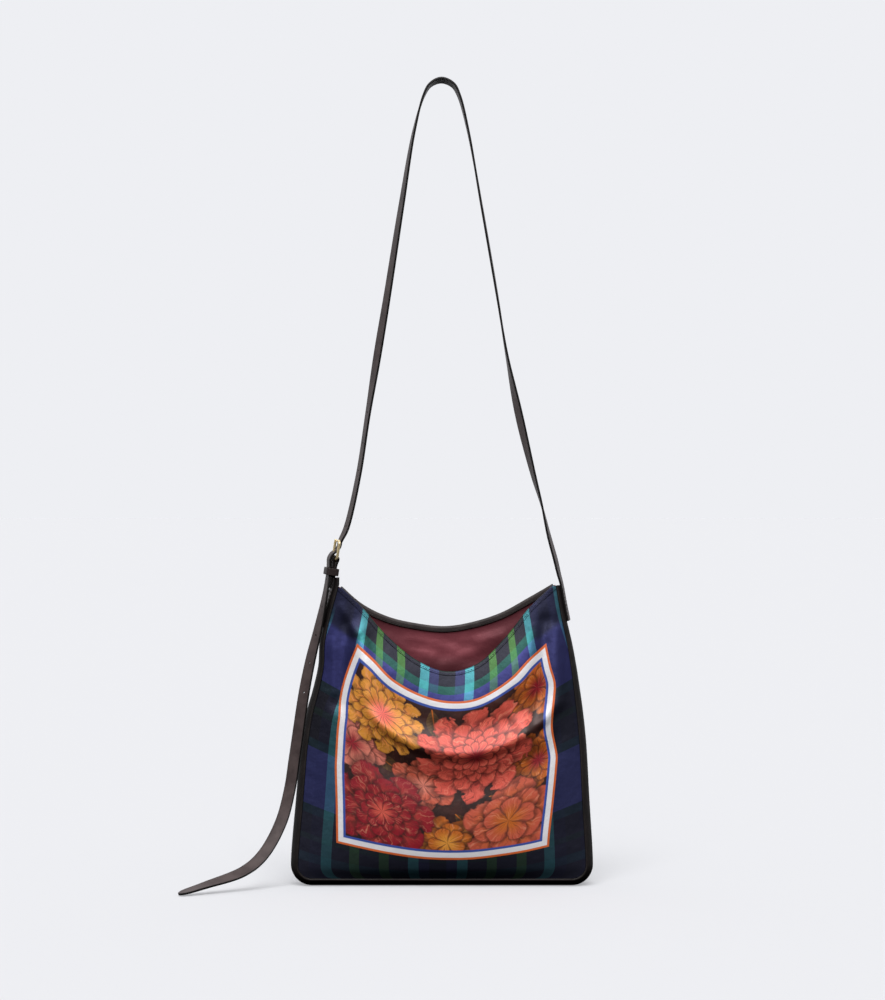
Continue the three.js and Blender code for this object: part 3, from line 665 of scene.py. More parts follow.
class Paint:
    """A node tree, with short ways to add its nodes."""

    def __init__(self, tree):
        self.tree = tree

    def node(self, kind, **settings):
        made = self.tree.nodes.new(kind)
        for name, value in settings.items():
            setattr(made, name, value)
        return made

    def put(self, value, socket):
        """A socket's own constant, or a link from another node."""
        if isinstance(value, bpy.types.NodeSocket):
            self.tree.links.new(value, socket)
        else:
            socket.default_value = value

    def feed(self, node, *values):
        """Gives a node its inputs in their order. Returns its first output."""
        for value, socket in zip(values, node.inputs):
            self.put(value, socket)
        return node.outputs[0]

    def fill(self, node, **values):
        """Gives a node inputs by their names, with an underscore for each space. Returns the node."""
        for label, value in values.items():
            self.put(value, node.inputs[label.replace("_", " ")])
        return node

    def math(self, operation, *values):
        return self.feed(self.node("ShaderNodeMath", operation=operation), *values)

    def vector(self, operation, *values):
        return self.feed(self.node("ShaderNodeVectorMath", operation=operation), *values)

    def mix(self, share, first, second):
        """A colour between two. The mix node has them at its inputs 6 and 7, and one at its output 2."""
        made = self.node("ShaderNodeMix", data_type="RGBA")
        self.put(share, made.inputs[0])
        self.put(first, made.inputs[6])
        self.put(second, made.inputs[7])
        return made.outputs[2]

    def between(self, value, low, high, start=0.0, end=1.0):
        """A smooth step from one number to another."""
        made = self.node("ShaderNodeMapRange", interpolation_type="SMOOTHSTEP")
        return self.feed(made, value, low, high, start, end)

    def stripes(self, value, stops):
        """Bands of colour with hard edges, from rows of start and colour. Returns the ramp's two outputs."""
        made = self.node("ShaderNodeValToRGB")
        made.color_ramp.interpolation = "CONSTANT"
        elements = made.color_ramp.elements
        while len(elements) < len(stops):
            elements.new(1.0)
        for element, (start, tint) in zip(elements, stops):
            element.position = start
            element.color = tint
        self.put(value, made.inputs[0])
        return made.outputs

    def split(self, place):
        """The three numbers of a place."""
        parts = self.node("ShaderNodeSeparateXYZ")
        self.feed(parts, place)
        return tuple(parts.outputs)

    def surface(self, name):
        """The two numbers of a named surface coordinate."""
        return self.split(self.node("ShaderNodeUVMap", uv_map=name).outputs[0])[:2]

    def point(self, x, y, z=0.0):
        return self.feed(self.node("ShaderNodeCombineXYZ"), x, y, z)

    def body_place(self):
        return self.node("ShaderNodeTexCoord").outputs["Object"]

    def noise(self, place, scale, detail=3.0):
        made = self.node("ShaderNodeTexNoise")
        return self.fill(made, Vector=place, Scale=scale, Detail=detail, Roughness=0.55).outputs[0]

    def ribs(self, place, scale):
        """Fine slanting waves."""
        made = self.node("ShaderNodeTexWave", wave_type="BANDS", bands_direction="DIAGONAL")
        return self.fill(made, Vector=place, Scale=scale).outputs[1]

    def bump(self, height, strength, distance, normal=None):
        made = self.node("ShaderNodeBump")
        self.fill(made, Strength=strength, Distance=distance, Height=height)
        if normal is not None:
            self.put(normal, made.inputs["Normal"])
        return made.outputs[0]


def new_material(name, **sockets):
    """A material whose principled shader takes the given values. Returns it, its paint and the shader."""
    material = bpy.data.materials.new(name)
    material.use_nodes = True
    paint = Paint(material.node_tree)
    shader = material.node_tree.nodes["Principled BSDF"]
    return material, paint, paint.fill(shader, **sockets)


# Colours of the checks
GROUND = colour(34, 34, 44)
BLUE = colour(58, 62, 114)
GREEN = colour(74, 122, 58)
TEAL = colour(94, 204, 216)
WEFT_GREEN = colour(32, 43, 42)
WEFT_TEAL = colour(33, 50, 60)
RIM_TEAL = colour(32, 82, 74)
RIM_BLUE = colour(60, 62, 126)
NAVY = colour(35, 37, 64)
# Pale tint, painted on as light where the cloth is lifted
PAINTED_FILL_TINT = colour(104, 106, 144)

# Stripes along the cloth by their distance from its middle, with how far each covers the stripes across
WARP_REACH = 1.12
WARP = [
    (0.0, GROUND, 0.2),
    (0.055, BLUE, 0.4),
    (0.126, TEAL, 0.32),
    (0.194, GROUND, 0.25),
    (0.321, GREEN, 0.56),
    (0.389, GROUND, 0.3),
    (0.517, GREEN, 0.56),
    (0.585, GROUND, 0.25),
    (0.704, TEAL, 0.28),
    (0.772, NAVY, 0.5),
    (0.850, GROUND, 0.35),
    (0.950, NAVY, 0.4),
    (1.024, TEAL, 0.2),
]

# Stripes across the cloth by their share of the way up to the mouth
WEFT = [
    (0.0, GROUND),
    (0.036, WEFT_TEAL),
    (0.068, GROUND),
    (0.115, WEFT_GREEN),
    (0.135, GROUND),
    (0.205, WEFT_TEAL),
    (0.237, BLUE),
    (0.440, WEFT_TEAL),
    (0.472, GROUND),
    (0.555, WEFT_GREEN),
    (0.580, GROUND),
    (0.640, WEFT_TEAL),
    (0.672, RIM_BLUE),
    (0.892, RIM_TEAL),
    (0.932, GROUND),
    (0.985, WEFT_GREEN),
]

# Painted shade: where the stripes along the cloth are dimmed lower down and gain their full cover on the way
# up
STRIPE_SHADE_BELOW = (0.5, 0.85, 0.55, 1.0)

# Where the stripes along the cloth are taken out near the left corner of the mouth, leaving it darker
CORNER_ACROSS = (-0.9, -0.98)
CORNER_UP = (0.84, 0.95)

# Where the stripe below the rim ends towards both sides
RIM_END_WAY = (0.66, 0.74)
RIM_END_UP = (0.865, 0.89)

# Where painted light lifts the cloth towards a pale tint, and how much: towards the foot and towards the
# right seam
FOOT_PAINTED_FILL = (0.34, 0.1, 0.0, 0.1)
SEAM_PAINTED_FILL = (0.72, 0.86, 0.0, 0.07)


def check_colour(paint):
    """Colour of the checked cloth: stripes along it over stripes across it, with painted shade low down and
    painted light near the foot and the right seam.
    """
    across, up = paint.surface("weave")
    way = paint.math("DIVIDE", paint.math("ABSOLUTE", across), WARP_REACH)
    stops = [(start / WARP_REACH, (*tint[:3], share)) for start, tint, share in WARP]
    warp, cover = paint.stripes(way, stops)
    # Painted shade dims the stripes along the cloth lower down
    cover = paint.math("MULTIPLY", cover, paint.between(up, *STRIPE_SHADE_BELOW))
    corner = paint.math("MULTIPLY", paint.between(across, *CORNER_ACROSS), paint.between(up, *CORNER_UP))
    cover = paint.math("MULTIPLY", cover, paint.math("SUBTRACT", 1.0, corner))
    weft = paint.stripes(up, WEFT)[0]
    rim_end = paint.math("MULTIPLY", paint.between(way, *RIM_END_WAY), paint.between(up, *RIM_END_UP))
    weft = paint.mix(rim_end, weft, NAVY)
    # Painted light: the cloth is lifted towards a pale tint near the foot and the right seam
    lighter = paint.math("MAXIMUM", paint.between(up, *FOOT_PAINTED_FILL), paint.between(across, *SEAM_PAINTED_FILL))
    return paint.mix(lighter, paint.mix(cover, weft, warp), PAINTED_FILL_TINT)


def satin_bump(paint):
    """Fine slanting ribs of the satin, with a faint unevenness."""
    place = paint.body_place()
    ribs = paint.bump(paint.ribs(place, scale=900.0), strength=0.08, distance=0.0004)
    uneven = paint.noise(place, scale=55.0)
    return paint.bump(uneven, strength=0.25, distance=0.003, normal=ribs)


def checked_satin():
    material, paint, shader = new_material("checked_satin", Metallic=0.75, Roughness=0.48)
    paint.fill(shader, Base_Color=check_colour(paint), Normal=satin_bump(paint))
    return material


# Colours of the printed square
PAPER_WHITE = colour(239, 237, 241)
BORDER_ORANGE = colour(220, 104, 48)
BORDER_BLUE = colour(58, 84, 168)
EARTH = colour(74, 38, 33)
EARTH_DARK = colour(44, 22, 20)
CORAL = colour(226, 92, 76)
ROSE = colour(232, 132, 112)
CRIMSON = colour(150, 20, 38)
SALMON = colour(206, 92, 68)
OCHRE = colour(204, 106, 34)
AMBER = colour(236, 158, 60)
OLIVE = colour(98, 70, 40)
PETAL_LIGHT = colour(250, 176, 140)

# Stripes of the print's border by their distance in from its edge, with how softly each begins
BORDER = [
    (0.0, 0.25, BORDER_ORANGE),
    (2.2, 0.35, PAPER_WHITE),
    (7.4, 0.35, BORDER_BLUE),
]

# Where the picture begins inside the border, and where the cloth grows duller at the print's edge
PICTURE_EDGE = (9.4, 10.2)
PRINT_DULLING = (-0.25, 0.25, 0.75, 0.15)

# Flowers of the print, each a few rings of petals one inside the other, from the back ones to the front ones
FLOWERS = [
    dict(at=(196, 172), radius=34, petals=6, rings=3, tip=OCHRE, heart=CRIMSON),
    dict(at=(16, 110), radius=34, petals=5, rings=3, tip=ROSE, heart=CRIMSON),
    dict(at=(196, 96), radius=32, petals=7, rings=3, tip=OCHRE, heart=CRIMSON),
    dict(at=(112, 22), radius=36, petals=5, rings=3, tip=OCHRE, heart=AMBER),
    dict(at=(172, 40), radius=48, petals=5, rings=3, tip=SALMON, heart=OCHRE),
    dict(at=(44, 160), radius=44, petals=12, rings=3, tip=AMBER, heart=CORAL),
    dict(at=(86, 92), radius=34, petals=6, rings=3, tip=SALMON, heart=ROSE),
    dict(at=(46, 48), radius=54, petals=7, rings=5, tip=CRIMSON, heart=CORAL),
    dict(at=(136, 132), radius=60, petals=10, rings=5, tip=CORAL, heart=CRIMSON),
]

# Radius of each ring as a share of the one round it, and a flower's turn by how far across it lies
RING_SHRINK = 0.74
FLOWER_TURN = 0.7

# Leaves of the print: where each starts, the way it points in degrees, its length and its half width
LEAVES = table(
    "x y turn length half",
    (70, 100, 160, 44, 9),
    (118, 60, -50, 46, 9),
    (150, 76, -15, 44, 8),
    (66, 132, 95, 48, 9),
    (100, 152, 100, 40, 8),
    (170, 152, 40, 44, 9),
    (76, 20, -10, 40, 8),
    (10, 150, -60, 40, 8),
    (196, 70, 80, 40, 8),
    (128, 22, 20, 36, 8),
)

# Trace of a shape's colour that goes on with the place
CARRY = (1e-5, 1e-5, 1e-5)


class Motif:
    """A node group that paints one shape over a base colour, at a place on the picture.

    It hands the place on with a trace of its colour, so that the shapes are worked out one after the other.
    """

    def __init__(self, name, vectors, numbers, tints):
        self.group = bpy.data.node_groups.new(name, "ShaderNodeTree")
        face = self.group.interface
        kinds = [("Vector", ["Place", *vectors]), ("Float", numbers), ("Color", ["Base", *tints])]
        for kind, labels in kinds:
            for label in labels:
                face.new_socket(label, in_out="INPUT", socket_type="NodeSocket" + kind)
        face.new_socket("Colour", in_out="OUTPUT", socket_type="NodeSocketColor")
        face.new_socket("Place", in_out="OUTPUT", socket_type="NodeSocketVector")
        self.paint = Paint(self.group)
        self.given = self.paint.node("NodeGroupInput").outputs

    def away(self, start):
        """The place seen from one of the group's own points."""
        return self.paint.vector("SUBTRACT", self.given["Place"], self.given[start])

    def close(self, shown):
        carried = self.paint.vector("MULTIPLY_ADD", shown, CARRY, self.given["Place"])
        self.paint.fill(self.paint.node("NodeGroupOutput"), Colour=shown, Place=carried)

    def lay(self, paint, place, shown, **values):
        """Uses the group in a material. Returns the place and the colour for the next shape."""
        made = paint.node("ShaderNodeGroup", node_tree=self.group)
        paint.fill(made, **values, Place=place, Base=shown)
        return made.outputs["Place"], made.outputs["Colour"]


def petal_tone(motif, way, crown, streaks):
    """Colour of a petal from its heart to its tip, with streaks and dark edges."""
    paint = motif.paint
    tone = paint.mix(paint.between(way, 0.15, 0.95), motif.given["Heart"], motif.given["Tip"])
    tone = paint.mix(paint.between(streaks, 0.5, 0.75, 0.0, 0.6), tone, EARTH)
    tone = paint.mix(paint.between(streaks, 0.48, 0.25, 0.0, 0.4), tone, PETAL_LIGHT)
    tone = paint.mix(paint.between(crown, 0.5, 0.0, 0.0, 0.7), tone, EARTH_DARK)
    return paint.mix(paint.between(way, 0.93, 1.0, 0.0, 0.6), tone, EARTH_DARK)


def petal_ring():
    """One ring of petals."""
    motif = Motif("petal_ring", ["Centre"], ["Radius", "Petals", "Turn"], ["Tip", "Heart"])
    paint = motif.paint
    given = motif.given
    wobble = paint.math("SUBTRACT", paint.noise(given["Place"], scale=0.09, detail=2.0), 0.5)
    away = motif.away("Centre")
    x, y, _ = paint.split(away)
    length = paint.node("ShaderNodeVectorMath", operation="LENGTH")
    paint.feed(length, away)
    far = paint.math("DIVIDE", length.outputs["Value"], given["Radius"])
    angle = paint.math("ADD", paint.math("ARCTAN2", y, x), given["Turn"])
    angle = paint.math("ADD", angle, paint.math("MULTIPLY", wobble, 0.5))
    half_turns = paint.math("MULTIPLY", angle, paint.math("MULTIPLY", given["Petals"], 0.5))
    crown = paint.math("ABSOLUTE", paint.math("COSINE", half_turns))
    edge = paint.math("ADD", paint.math("MULTIPLY", paint.math("POWER", crown, 0.55), 0.34), 0.66)
    edge = paint.math("ADD", edge, paint.math("MULTIPLY", wobble, 0.16))
    way = paint.math("DIVIDE", far, edge)
    grain = paint.point(paint.math("MULTIPLY", half_turns, 3.0), far, given["Turn"])
    tone = petal_tone(motif, way, crown, paint.noise(grain, scale=1.6))
    ground = paint.mix(paint.between(way, 1.2, 0.98, 0.0, 0.6), given["Base"], EARTH_DARK)
    motif.close(paint.mix(paint.between(way, 1.0, 0.97), ground, tone))
    return motif


def leaf_blade():
    """One pointed leaf with ribs."""
    motif = Motif("leaf_blade", ["Start"], ["Turn", "Length", "Half"], [])
    paint = motif.paint
    given = motif.given
    turned = paint.node("ShaderNodeVectorRotate", rotation_type="Z_AXIS")
    paint.fill(turned, Vector=motif.away("Start"), Angle=paint.math("MULTIPLY", given["Turn"], -1.0))
    x, y, _ = paint.split(turned.outputs[0])
    along = paint.math("DIVIDE", x, given["Length"])
    held = paint.math("MINIMUM", paint.math("MAXIMUM", along, 0.0), 1.0)
    width = paint.math("MULTIPLY", paint.math("SINE", paint.math("MULTIPLY", held, math.pi)), given["Half"])
    across = paint.math("ABSOLUTE", y)
    inside = paint.between(paint.math("SUBTRACT", width, across), 0.0, 0.5)
    ribs = paint.math("SINE", paint.math("ADD", paint.math("MULTIPLY", held, 70.0), across))
    tone = paint.mix(paint.between(ribs, 0.5, 1.0, 0.0, 0.45), OLIVE, EARTH_DARK)
    tone = paint.mix(paint.between(across, 0.9, 0.3), tone, OCHRE)
    motif.close(paint.mix(inside, given["Base"], tone))
    return motif


def leaf_values(leaf):
    """Inputs of one leaf."""
    return {
        "Start": (leaf["x"], leaf["y"], 0.0),
        "Turn": math.radians(leaf["turn"]),
        "Length": leaf["length"],
        "Half": leaf["half"],
    }


def ring_values(flower, step):
    """Inputs of one ring of a flower's petals, the outermost first."""
    return {
        "Centre": (*flower["at"], 0.0),
        "Radius": flower["radius"] * RING_SHRINK**step,
        "Petals": float(flower["petals"]),
        "Turn": FLOWER_TURN * flower["at"][0] + step * math.pi / flower["petals"],
        "Tip": flower["tip"],
        "Heart": flower["heart"],
    }


def picture_colour(paint):
    """Flowers and leaves on an earthy ground."""
    u, v = paint.surface("picture")
    place = paint.point(u, v)
    cloud = paint.noise(place, scale=0.03, detail=4.0)
    shown = paint.mix(paint.between(cloud, 0.3, 0.7), EARTH_DARK, EARTH)
    blades = paint.point(paint.math("MULTIPLY", u, 0.9), paint.math("MULTIPLY", v, 0.08))
    grass = paint.noise(blades, scale=1.0, detail=2.0)
    shown = paint.mix(paint.between(grass, 0.6, 0.75, 0.0, 0.5), shown, OLIVE)
    blade = leaf_blade()
    for leaf in rows_of(LEAVES):
        place, shown = blade.lay(paint, place, shown, **leaf_values(leaf))
    ring = petal_ring()
    for flower in FLOWERS:
        for step in range(flower["rings"]):
            place, shown = ring.lay(paint, place, shown, **ring_values(flower, step))
    return shown


def printed_satin():
    """Checked satin with the framed print on it."""
    material, paint, shader = new_material("printed_satin", Roughness=0.48)
    left, right = paint.surface("print_sides")
    top, bottom = paint.surface("print_ends")
    inward = paint.math("MINIMUM", paint.math("MINIMUM", left, right), paint.math("MINIMUM", top, bottom))
    shown = check_colour(paint)
    for edge, soft, tint in BORDER:
        shown = paint.mix(paint.between(inward, edge - soft, edge + soft), shown, tint)
    shown = paint.mix(paint.between(inward, *PICTURE_EDGE), shown, picture_colour(paint))
    metal = paint.between(inward, *PRINT_DULLING)
    paint.fill(shader, Base_Color=shown, Metallic=metal, Normal=satin_bump(paint))
    return material


# Colours of the lining, and where in metres painted shade darkens it: to its sides and below the mouth
LINING_TONES = (colour(118, 50, 60), colour(152, 74, 84))
LINING_SHADE = colour(72, 31, 37)
LINING_ASIDE = (0.015, 0.07, 0.0, 0.5)
LINING_DEEP = (-0.594, -0.609, 0.0, 0.6)

# Dark and light tones of the leather and the brass, and display colours of the threads
DARK_LEATHER = (colour(20, 16, 16), colour(32, 26, 26))
BROWN_LEATHER = (colour(42, 33, 33), colour(54, 45, 44))
# Leather of the back band: its own brown, painted lighter as sheen
BAND_LEATHER_SHEEN = (colour(54, 48, 48), colour(70, 63, 62))
STRAP_OUTSIDE = (colour(63, 52, 52), colour(82, 70, 69))
# Inner face of the straps, painted lighter as painted light
STRAP_INSIDE_LIT = (colour(94, 83, 84), colour(110, 99, 99))
EDGE_DARK = colour(16, 12, 12)
BRASS_TONES = (colour(242, 214, 152), colour(254, 238, 196))
DARK_THREAD = (52, 42, 42)
NAVY_THREAD = (38, 40, 62)
BACKDROP = colour(238, 239, 243)

# Straps: where the inner face's painted light begins, how far the painted edges reach in, and the pressed
# line
LIT_INNER_FACE = (0.0, -0.4)
EDGE_PAINT = (1.0, 0.45)
CREASE_IN = 1.7
CREASE_HALF = 0.35


def lining_satin():
    material, paint, shader = new_material("lining_satin", Metallic=0.3, Roughness=0.55)
    place = paint.body_place()
    tone = paint.mix(paint.noise(place, scale=30.0), *LINING_TONES)
    x, _, z = paint.split(place)
    aside = paint.between(paint.math("ABSOLUTE", x), *LINING_ASIDE)
    # Painted shade: darker to the sides and deeper below the mouth
    shade = paint.math("MAXIMUM", aside, paint.between(z, *LINING_DEEP))
    paint.fill(shader, Base_Color=paint.mix(shade, tone, LINING_SHADE), Normal=satin_bump(paint))
    return material


def leather_bump(paint, place):
    """Pebbled grain with fine pores."""
    cells = paint.node("ShaderNodeTexVoronoi", feature="SMOOTH_F1")
    paint.fill(cells, Vector=place, Scale=1400.0)
    grain = paint.bump(cells.outputs["Distance"], strength=0.25, distance=0.0004)
    pores = paint.noise(place, scale=240.0, detail=4.0)
    return paint.bump(pores, strength=0.2, distance=0.0008, normal=grain)


def leather_tone(paint, place, dark, light):
    """Brown with cloudy wear."""
    cloud = paint.noise(place, scale=60.0, detail=4.0)
    return paint.mix(paint.between(cloud, 0.3, 0.7), dark, light)


def smooth_leather(name, tones):
    material, paint, shader = new_material(name, Roughness=0.55, Specular_IOR_Level=0.3)
    place = paint.body_place()
    paint.fill(shader, Base_Color=leather_tone(paint, place, *tones), Normal=leather_bump(paint, place))
    return material


def strap_leather():
    """Leather of the straps: an inner face painted lighter as painted light, dark painted edges and a pressed
    line beside each edge.
    """
    material, paint, shader = new_material("strap_leather", Roughness=0.5, Specular_IOR_Level=0.3)
    place = paint.body_place()
    through, across = paint.surface("band")
    from_edge = paint.math("SUBTRACT", STRAP_WIDTH / 2, paint.math("ABSOLUTE", across))
    tone = leather_tone(paint, place, *STRAP_OUTSIDE)
    # Painted light: the inner face is given the lighter tones
    tone = paint.mix(paint.between(through, *LIT_INNER_FACE), tone, leather_tone(paint, place, *STRAP_INSIDE_LIT))
    tone = paint.mix(paint.between(from_edge, *EDGE_PAINT), tone, EDGE_DARK)
    crease = paint.math("ABSOLUTE", paint.math("SUBTRACT", from_edge, CREASE_IN))
    grain = leather_bump(paint, place)
    pressed = paint.bump(paint.between(crease, 0.0, CREASE_HALF), strength=0.6, distance=0.0004, normal=grain)
    paint.fill(shader, Base_Color=tone, Normal=pressed)
    return material


def polished_brass():
    material, paint, shader = new_material("polished_brass", Metallic=0.5)
    worn = paint.noise(paint.body_place(), scale=180.0, detail=4.0)
    rough = paint.between(worn, 0.2, 0.8, 0.16, 0.3)
    paint.fill(shader, Base_Color=paint.mix(worn, *BRASS_TONES), Roughness=rough)
    return material


def thread(name, tint):
    """Twisted thread, its grooves painted darker as shade."""
    material, paint, shader = new_material(name, Roughness=0.6)
    # Painted shade: the grooves of the twist are darker
    groove_shade = colour(*(0.6 * part for part in tint))
    ply = paint.ribs(paint.body_place(), scale=1600.0)
    paint.fill(shader, Base_Color=paint.mix(ply, groove_shade, colour(*tint)))
    return material


# Pieces


def finish_piece(piece, materials, node):
    """Gives a piece its materials, its place on the part and the node that it stands for."""
    for material in materials:
        piece.data.materials.append(material)
    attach(piece, "root")
    if node:
        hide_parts(node)
    return piece


def cloth_wall(panel, columns, rows):
    """A panel's cloth: its places across and up, its middle, and its outer and inner skins in one list."""
    across, height = panel_places(panel, columns, rows)
    points = panel_points(panel, across, height)
    half = grid_normals(points) * CLOTH / 2
    return across, height, points, np.concatenate([points + half, points - half]).reshape(-1, 3)


def front_cloth():
    across, height, points, skins = cloth_wall(FRONT, *FRONT_GRID)
    sides, ends, picture = print_place(points[..., 0], height)
    weave = weave_place(FRONT, across, height)
    places = {"weave": weave, "print_sides": sides, "print_ends": ends, "picture": picture}
    coordinates = {label: doubled(values) for label, values in places.items()}
    piece = make_object("front_cloth", skins, wall_faces(across.shape), coordinates)
    finish_piece(piece, [checked_satin(), printed_satin()], "front_panel")
    inward = np.minimum(sides.min(-1), ends.min(-1))
    index = np.arange(inward.size).reshape(inward.shape)
    deepest = inward.ravel()[grid_faces(index)].max(-1)
    for face, depth in zip(piece.data.polygons, deepest):
        face.material_index = int(depth > -PRINT_MARGIN)
    return piece


def back_cloth(material):
    across, height, _, skins = cloth_wall(BACK, *BACK_GRID)
    coordinates = {"weave": doubled(weave_place(BACK, across, height))}
    piece = make_object("back_cloth", skins, wall_faces(across.shape), coordinates)
    return finish_piece(piece, [material], "back_panel")


# Creases of the lining, as inward swells along straight lines on its back
LINING_FOLDS = table(
    "from_x from_height to_x to_height bulge spread",
    (-90, 262, -10, 236, 2.2, 6),
    (-60, 246, 30, 250, -1.2, 7),
    (-34, 256, 12, 244, 1.8, 4.5),
    (10, 232, 90, 262, 1.8, 7),
    (22, 252, 62, 258, 1.4, 4),
    (40, 250, 100, 282, 1.0, 6),
    (-30, 228, 50, 222, 1.8, 6),
    (-80, 240, -40, 215, 1.4, 6),
)


def lining_columns(panel, face, columns, rows):
    """One face of the lining along a panel. The inner face (-1) lies a wall's thickness further in."""
    across, height = panel_places(panel, columns, rows)
    deeper = (1 - face) * LINING / 2
    sideways = np.where(np.abs(across) == 1, deeper, 0)
    points = panel_points(panel, across * (1 - sideways / panel_span(height)[1]), height)
    swell = fold_swell(LINING_FOLDS, points[..., 0], height) if panel is BACK else 0
    calm = smoothstep(panel.mouth(across) - height, *LINING_CALM) * (1 - across**CALM_POWER)
    inset = LINING_INSET - LINING / 2 + deeper + np.maximum(swell + LINING_SLACK, 0) * calm
    points = points - grid_normals(points) * inset[..., None]
    points[0, :, 2] = LINING_FOOT + deeper
    return points


def lining_pouch(material):
    skins = []
    for face in (1, -1):
        sides = [lining_columns(panel, face, *LINING_GRID) for panel in (FRONT, BACK)]
        skins.append(np.concatenate(sides, axis=1))
    shape = skins[0].shape[:2]
    count = shape[0] * shape[1]
    outer = np.pad(np.arange(count).reshape(shape), ((0, 0), (0, 1)), mode="wrap")
    inner = outer + count
    half = shape[1] // 2
    front_foot = outer[0, :half]
    back_foot = outer[0, half:-1][::-1]
    faces = np.concatenate(
        [
            grid_faces(outer),
            grid_faces(inner)[:, ::-1],
            strip_faces(outer[-1], inner[-1]),
            strip_faces(back_foot, front_foot),
            strip_faces(front_foot + count, back_foot + count),
        ]
    )
    points = np.concatenate([skin.reshape(-1, 3) for skin in skins])
    piece = make_object("lining_pouch", points, faces)
    return finish_piece(piece, [material], "lining")


def gusset_line():
    """Outer line of the gusset from its left end, behind the tab, under the bag to the right corner."""
    side_steps, corner_steps, foot_steps = 90, 14, 40
    left = left_at(CORNER_RADIUS) + CORNER_RADIUS
    right = right_at(CORNER_RADIUS) - CORNER_RADIUS
    down = np.linspace(GUSSET_LEFT_END, CORNER_RADIUS, side_steps, endpoint=False)
    rise = np.linspace(CORNER_RADIUS, RIGHT_TOP, side_steps + 1)[1:]
    turn = np.linspace(0, np.pi / 2, corner_steps + 1)
    foot = np.linspace(left, right, foot_steps + 1)[1:-1]
    stretches = [
        (left_at(down), down),
        (left - CORNER_RADIUS * np.cos(turn), CORNER_RADIUS * (1 - np.sin(turn))),
        (foot, np.zeros_like(foot)),
        (right + CORNER_RADIUS * np.sin(turn), CORNER_RADIUS * (1 - np.cos(turn))),
        (right_at(rise), rise),
    ]
    return np.concatenate([np.stack(stretch, axis=-1) for stretch in stretches])


def gusset_leather(material):
    """Leather strip round the sides and foot, with both edges turned in and rounded over."""
    line = gusset_line()
    travel = unit(np.gradient(line, axis=0))
    reach = np.linspace(-1, 1, 31)
    lip = np.linspace(0, np.pi, 7)[1:-1]
    bulge = LIP_BULGE * np.sin(lip)
    deep = LEATHER * (1 - np.cos(lip)) / 2
    across = np.concatenate([reach, np.ones_like(lip), reach[::-1], -np.ones_like(lip)])
    beyond = np.concatenate([0 * reach, bulge, 0 * reach, -bulge])
    depth_in = np.concatenate([0 * reach, deep, 0 * reach + LEATHER, deep[::-1]])
    tucked = np.clip((np.abs(across) - TUCK_START) / (1 - TUCK_START), 0, 1) ** TUCK_POWER
    inward = tucked * tuck_at(line[:, 1:]) + depth_in
    x = line[:, :1] - travel[:, 1:] * inward
    height = line[:, 1:] + travel[:, :1] * inward
    y = across * depth_at(line[:, 1:]) / 2 + beyond
    points, faces = sweep(np.stack([x, y, height], axis=-1))
    piece = make_object("gusset_leather", points, faces, sharp=50)
    return finish_piece(piece, [material], "gusset")


def mouth_frame(panel, samples):
    """Places along a mouth edge, with directions along it, up out of it and out of the bag."""
    across = -panel.side * np.linspace(-BINDING_END, BINDING_END, samples)
    height = panel.mouth(across)
    edge = panel_points(panel, across, height)
    rise = edge - panel_points(panel, across, height - RISE_STEP)
    travel = unit(np.gradient(edge, axis=0))
    rise = unit(rise - travel * (rise * travel).sum(-1, keepdims=True))
    return edge, travel, rise, np.cross(travel, rise)


def binding_section(size):
    """A strip folded over an edge, as places up and out, with a rounded top. The outer face comes first."""
    outer = CLOTH / 2 + BINDING_GAP
    inner = -(LINING_INSET + LINING / 2 + BINDING_GAP)
    half = (outer - inner) / 2
    turn = np.linspace(0, np.pi, 13)
    leg = -size["leg"] * np.array([1, 0.6, 0.25])

    def side(grow):
        top = BINDING_GAP + (BINDING_ARCH * half + grow) * np.sin(turn)
        over = (outer + inner) / 2 + (half + grow) * np.cos(turn)
        up = np.concatenate([leg, top, leg[::-1]])
        out = np.concatenate([np.full(len(leg), outer + grow), over, np.full(len(leg), inner - grow)])
        return np.stack([up, out], axis=-1)

    return np.concatenate([side(size["wall"])[::-1], side(0)])


def mouth_binding(name, panel, size, material, node):
    edge, _, rise, out = mouth_frame(panel, samples=150)
    points, faces = sweep(rings_along(edge, rise, out, binding_section(size)))
    middle, half = panel_span(points[:, 2])
    place = weave_place(panel, (points[:, 0] - middle) / half, points[:, 2] - HEM_WEAVE_DROP)
    piece = make_object(name, points, faces, {"weave": place})
    return finish_piece(piece, [material], node)


# Straps


def curve_through(points, steps):
    """Curve through points with some steps in each span. Returns its places and their shares of it."""
    ends = np.concatenate([[2 * points[0] - points[1]], points, [2 * points[-1] - points[-2]]])
    gaps = np.sqrt(np.linalg.norm(np.diff(ends, axis=0), axis=1))[:, None]
    places = []
    shares = []
    for k, count in enumerate(steps):
        p0, p1, p2, p3 = ends[k : k + 4]
        d0, d1, d2 = gaps[k : k + 3]
        leave = ((p1 - p0) / d0 - (p2 - p0) / (d0 + d1) + (p2 - p1) / d1) * d1
        arrive = ((p2 - p1) / d1 - (p3 - p1) / (d1 + d2) + (p3 - p2) / d2) * d1
        t = np.arange(count)[:, None] / count
        places.append(cubic(t, p1, p2, leave, arrive))
        shares.append((k + t[:, 0]) / len(steps))
    return np.concatenate([*places, points[-1:]]), np.concatenate([*shares, [1.0]])


def band_directions(travel, roll):
    """Outer face and width directions of bands that travel along tangents and are rolled about them."""
    turn = np.radians(roll)[..., None]
    level = unit(np.stack([travel[..., 2], np.zeros_like(travel[..., 0]), -travel[..., 0]], axis=-1))
    width = unit(np.cross(travel, level))
    return level * np.cos(turn) - width * np.sin(turn), level * np.sin(turn) + width * np.cos(turn)


@dataclass
class Band:
    """A strap's places, its outer face and width directions, and the distance along it."""

    place: np.ndarray
    face: np.ndarray
    wide: np.ndarray
    run: np.ndarray


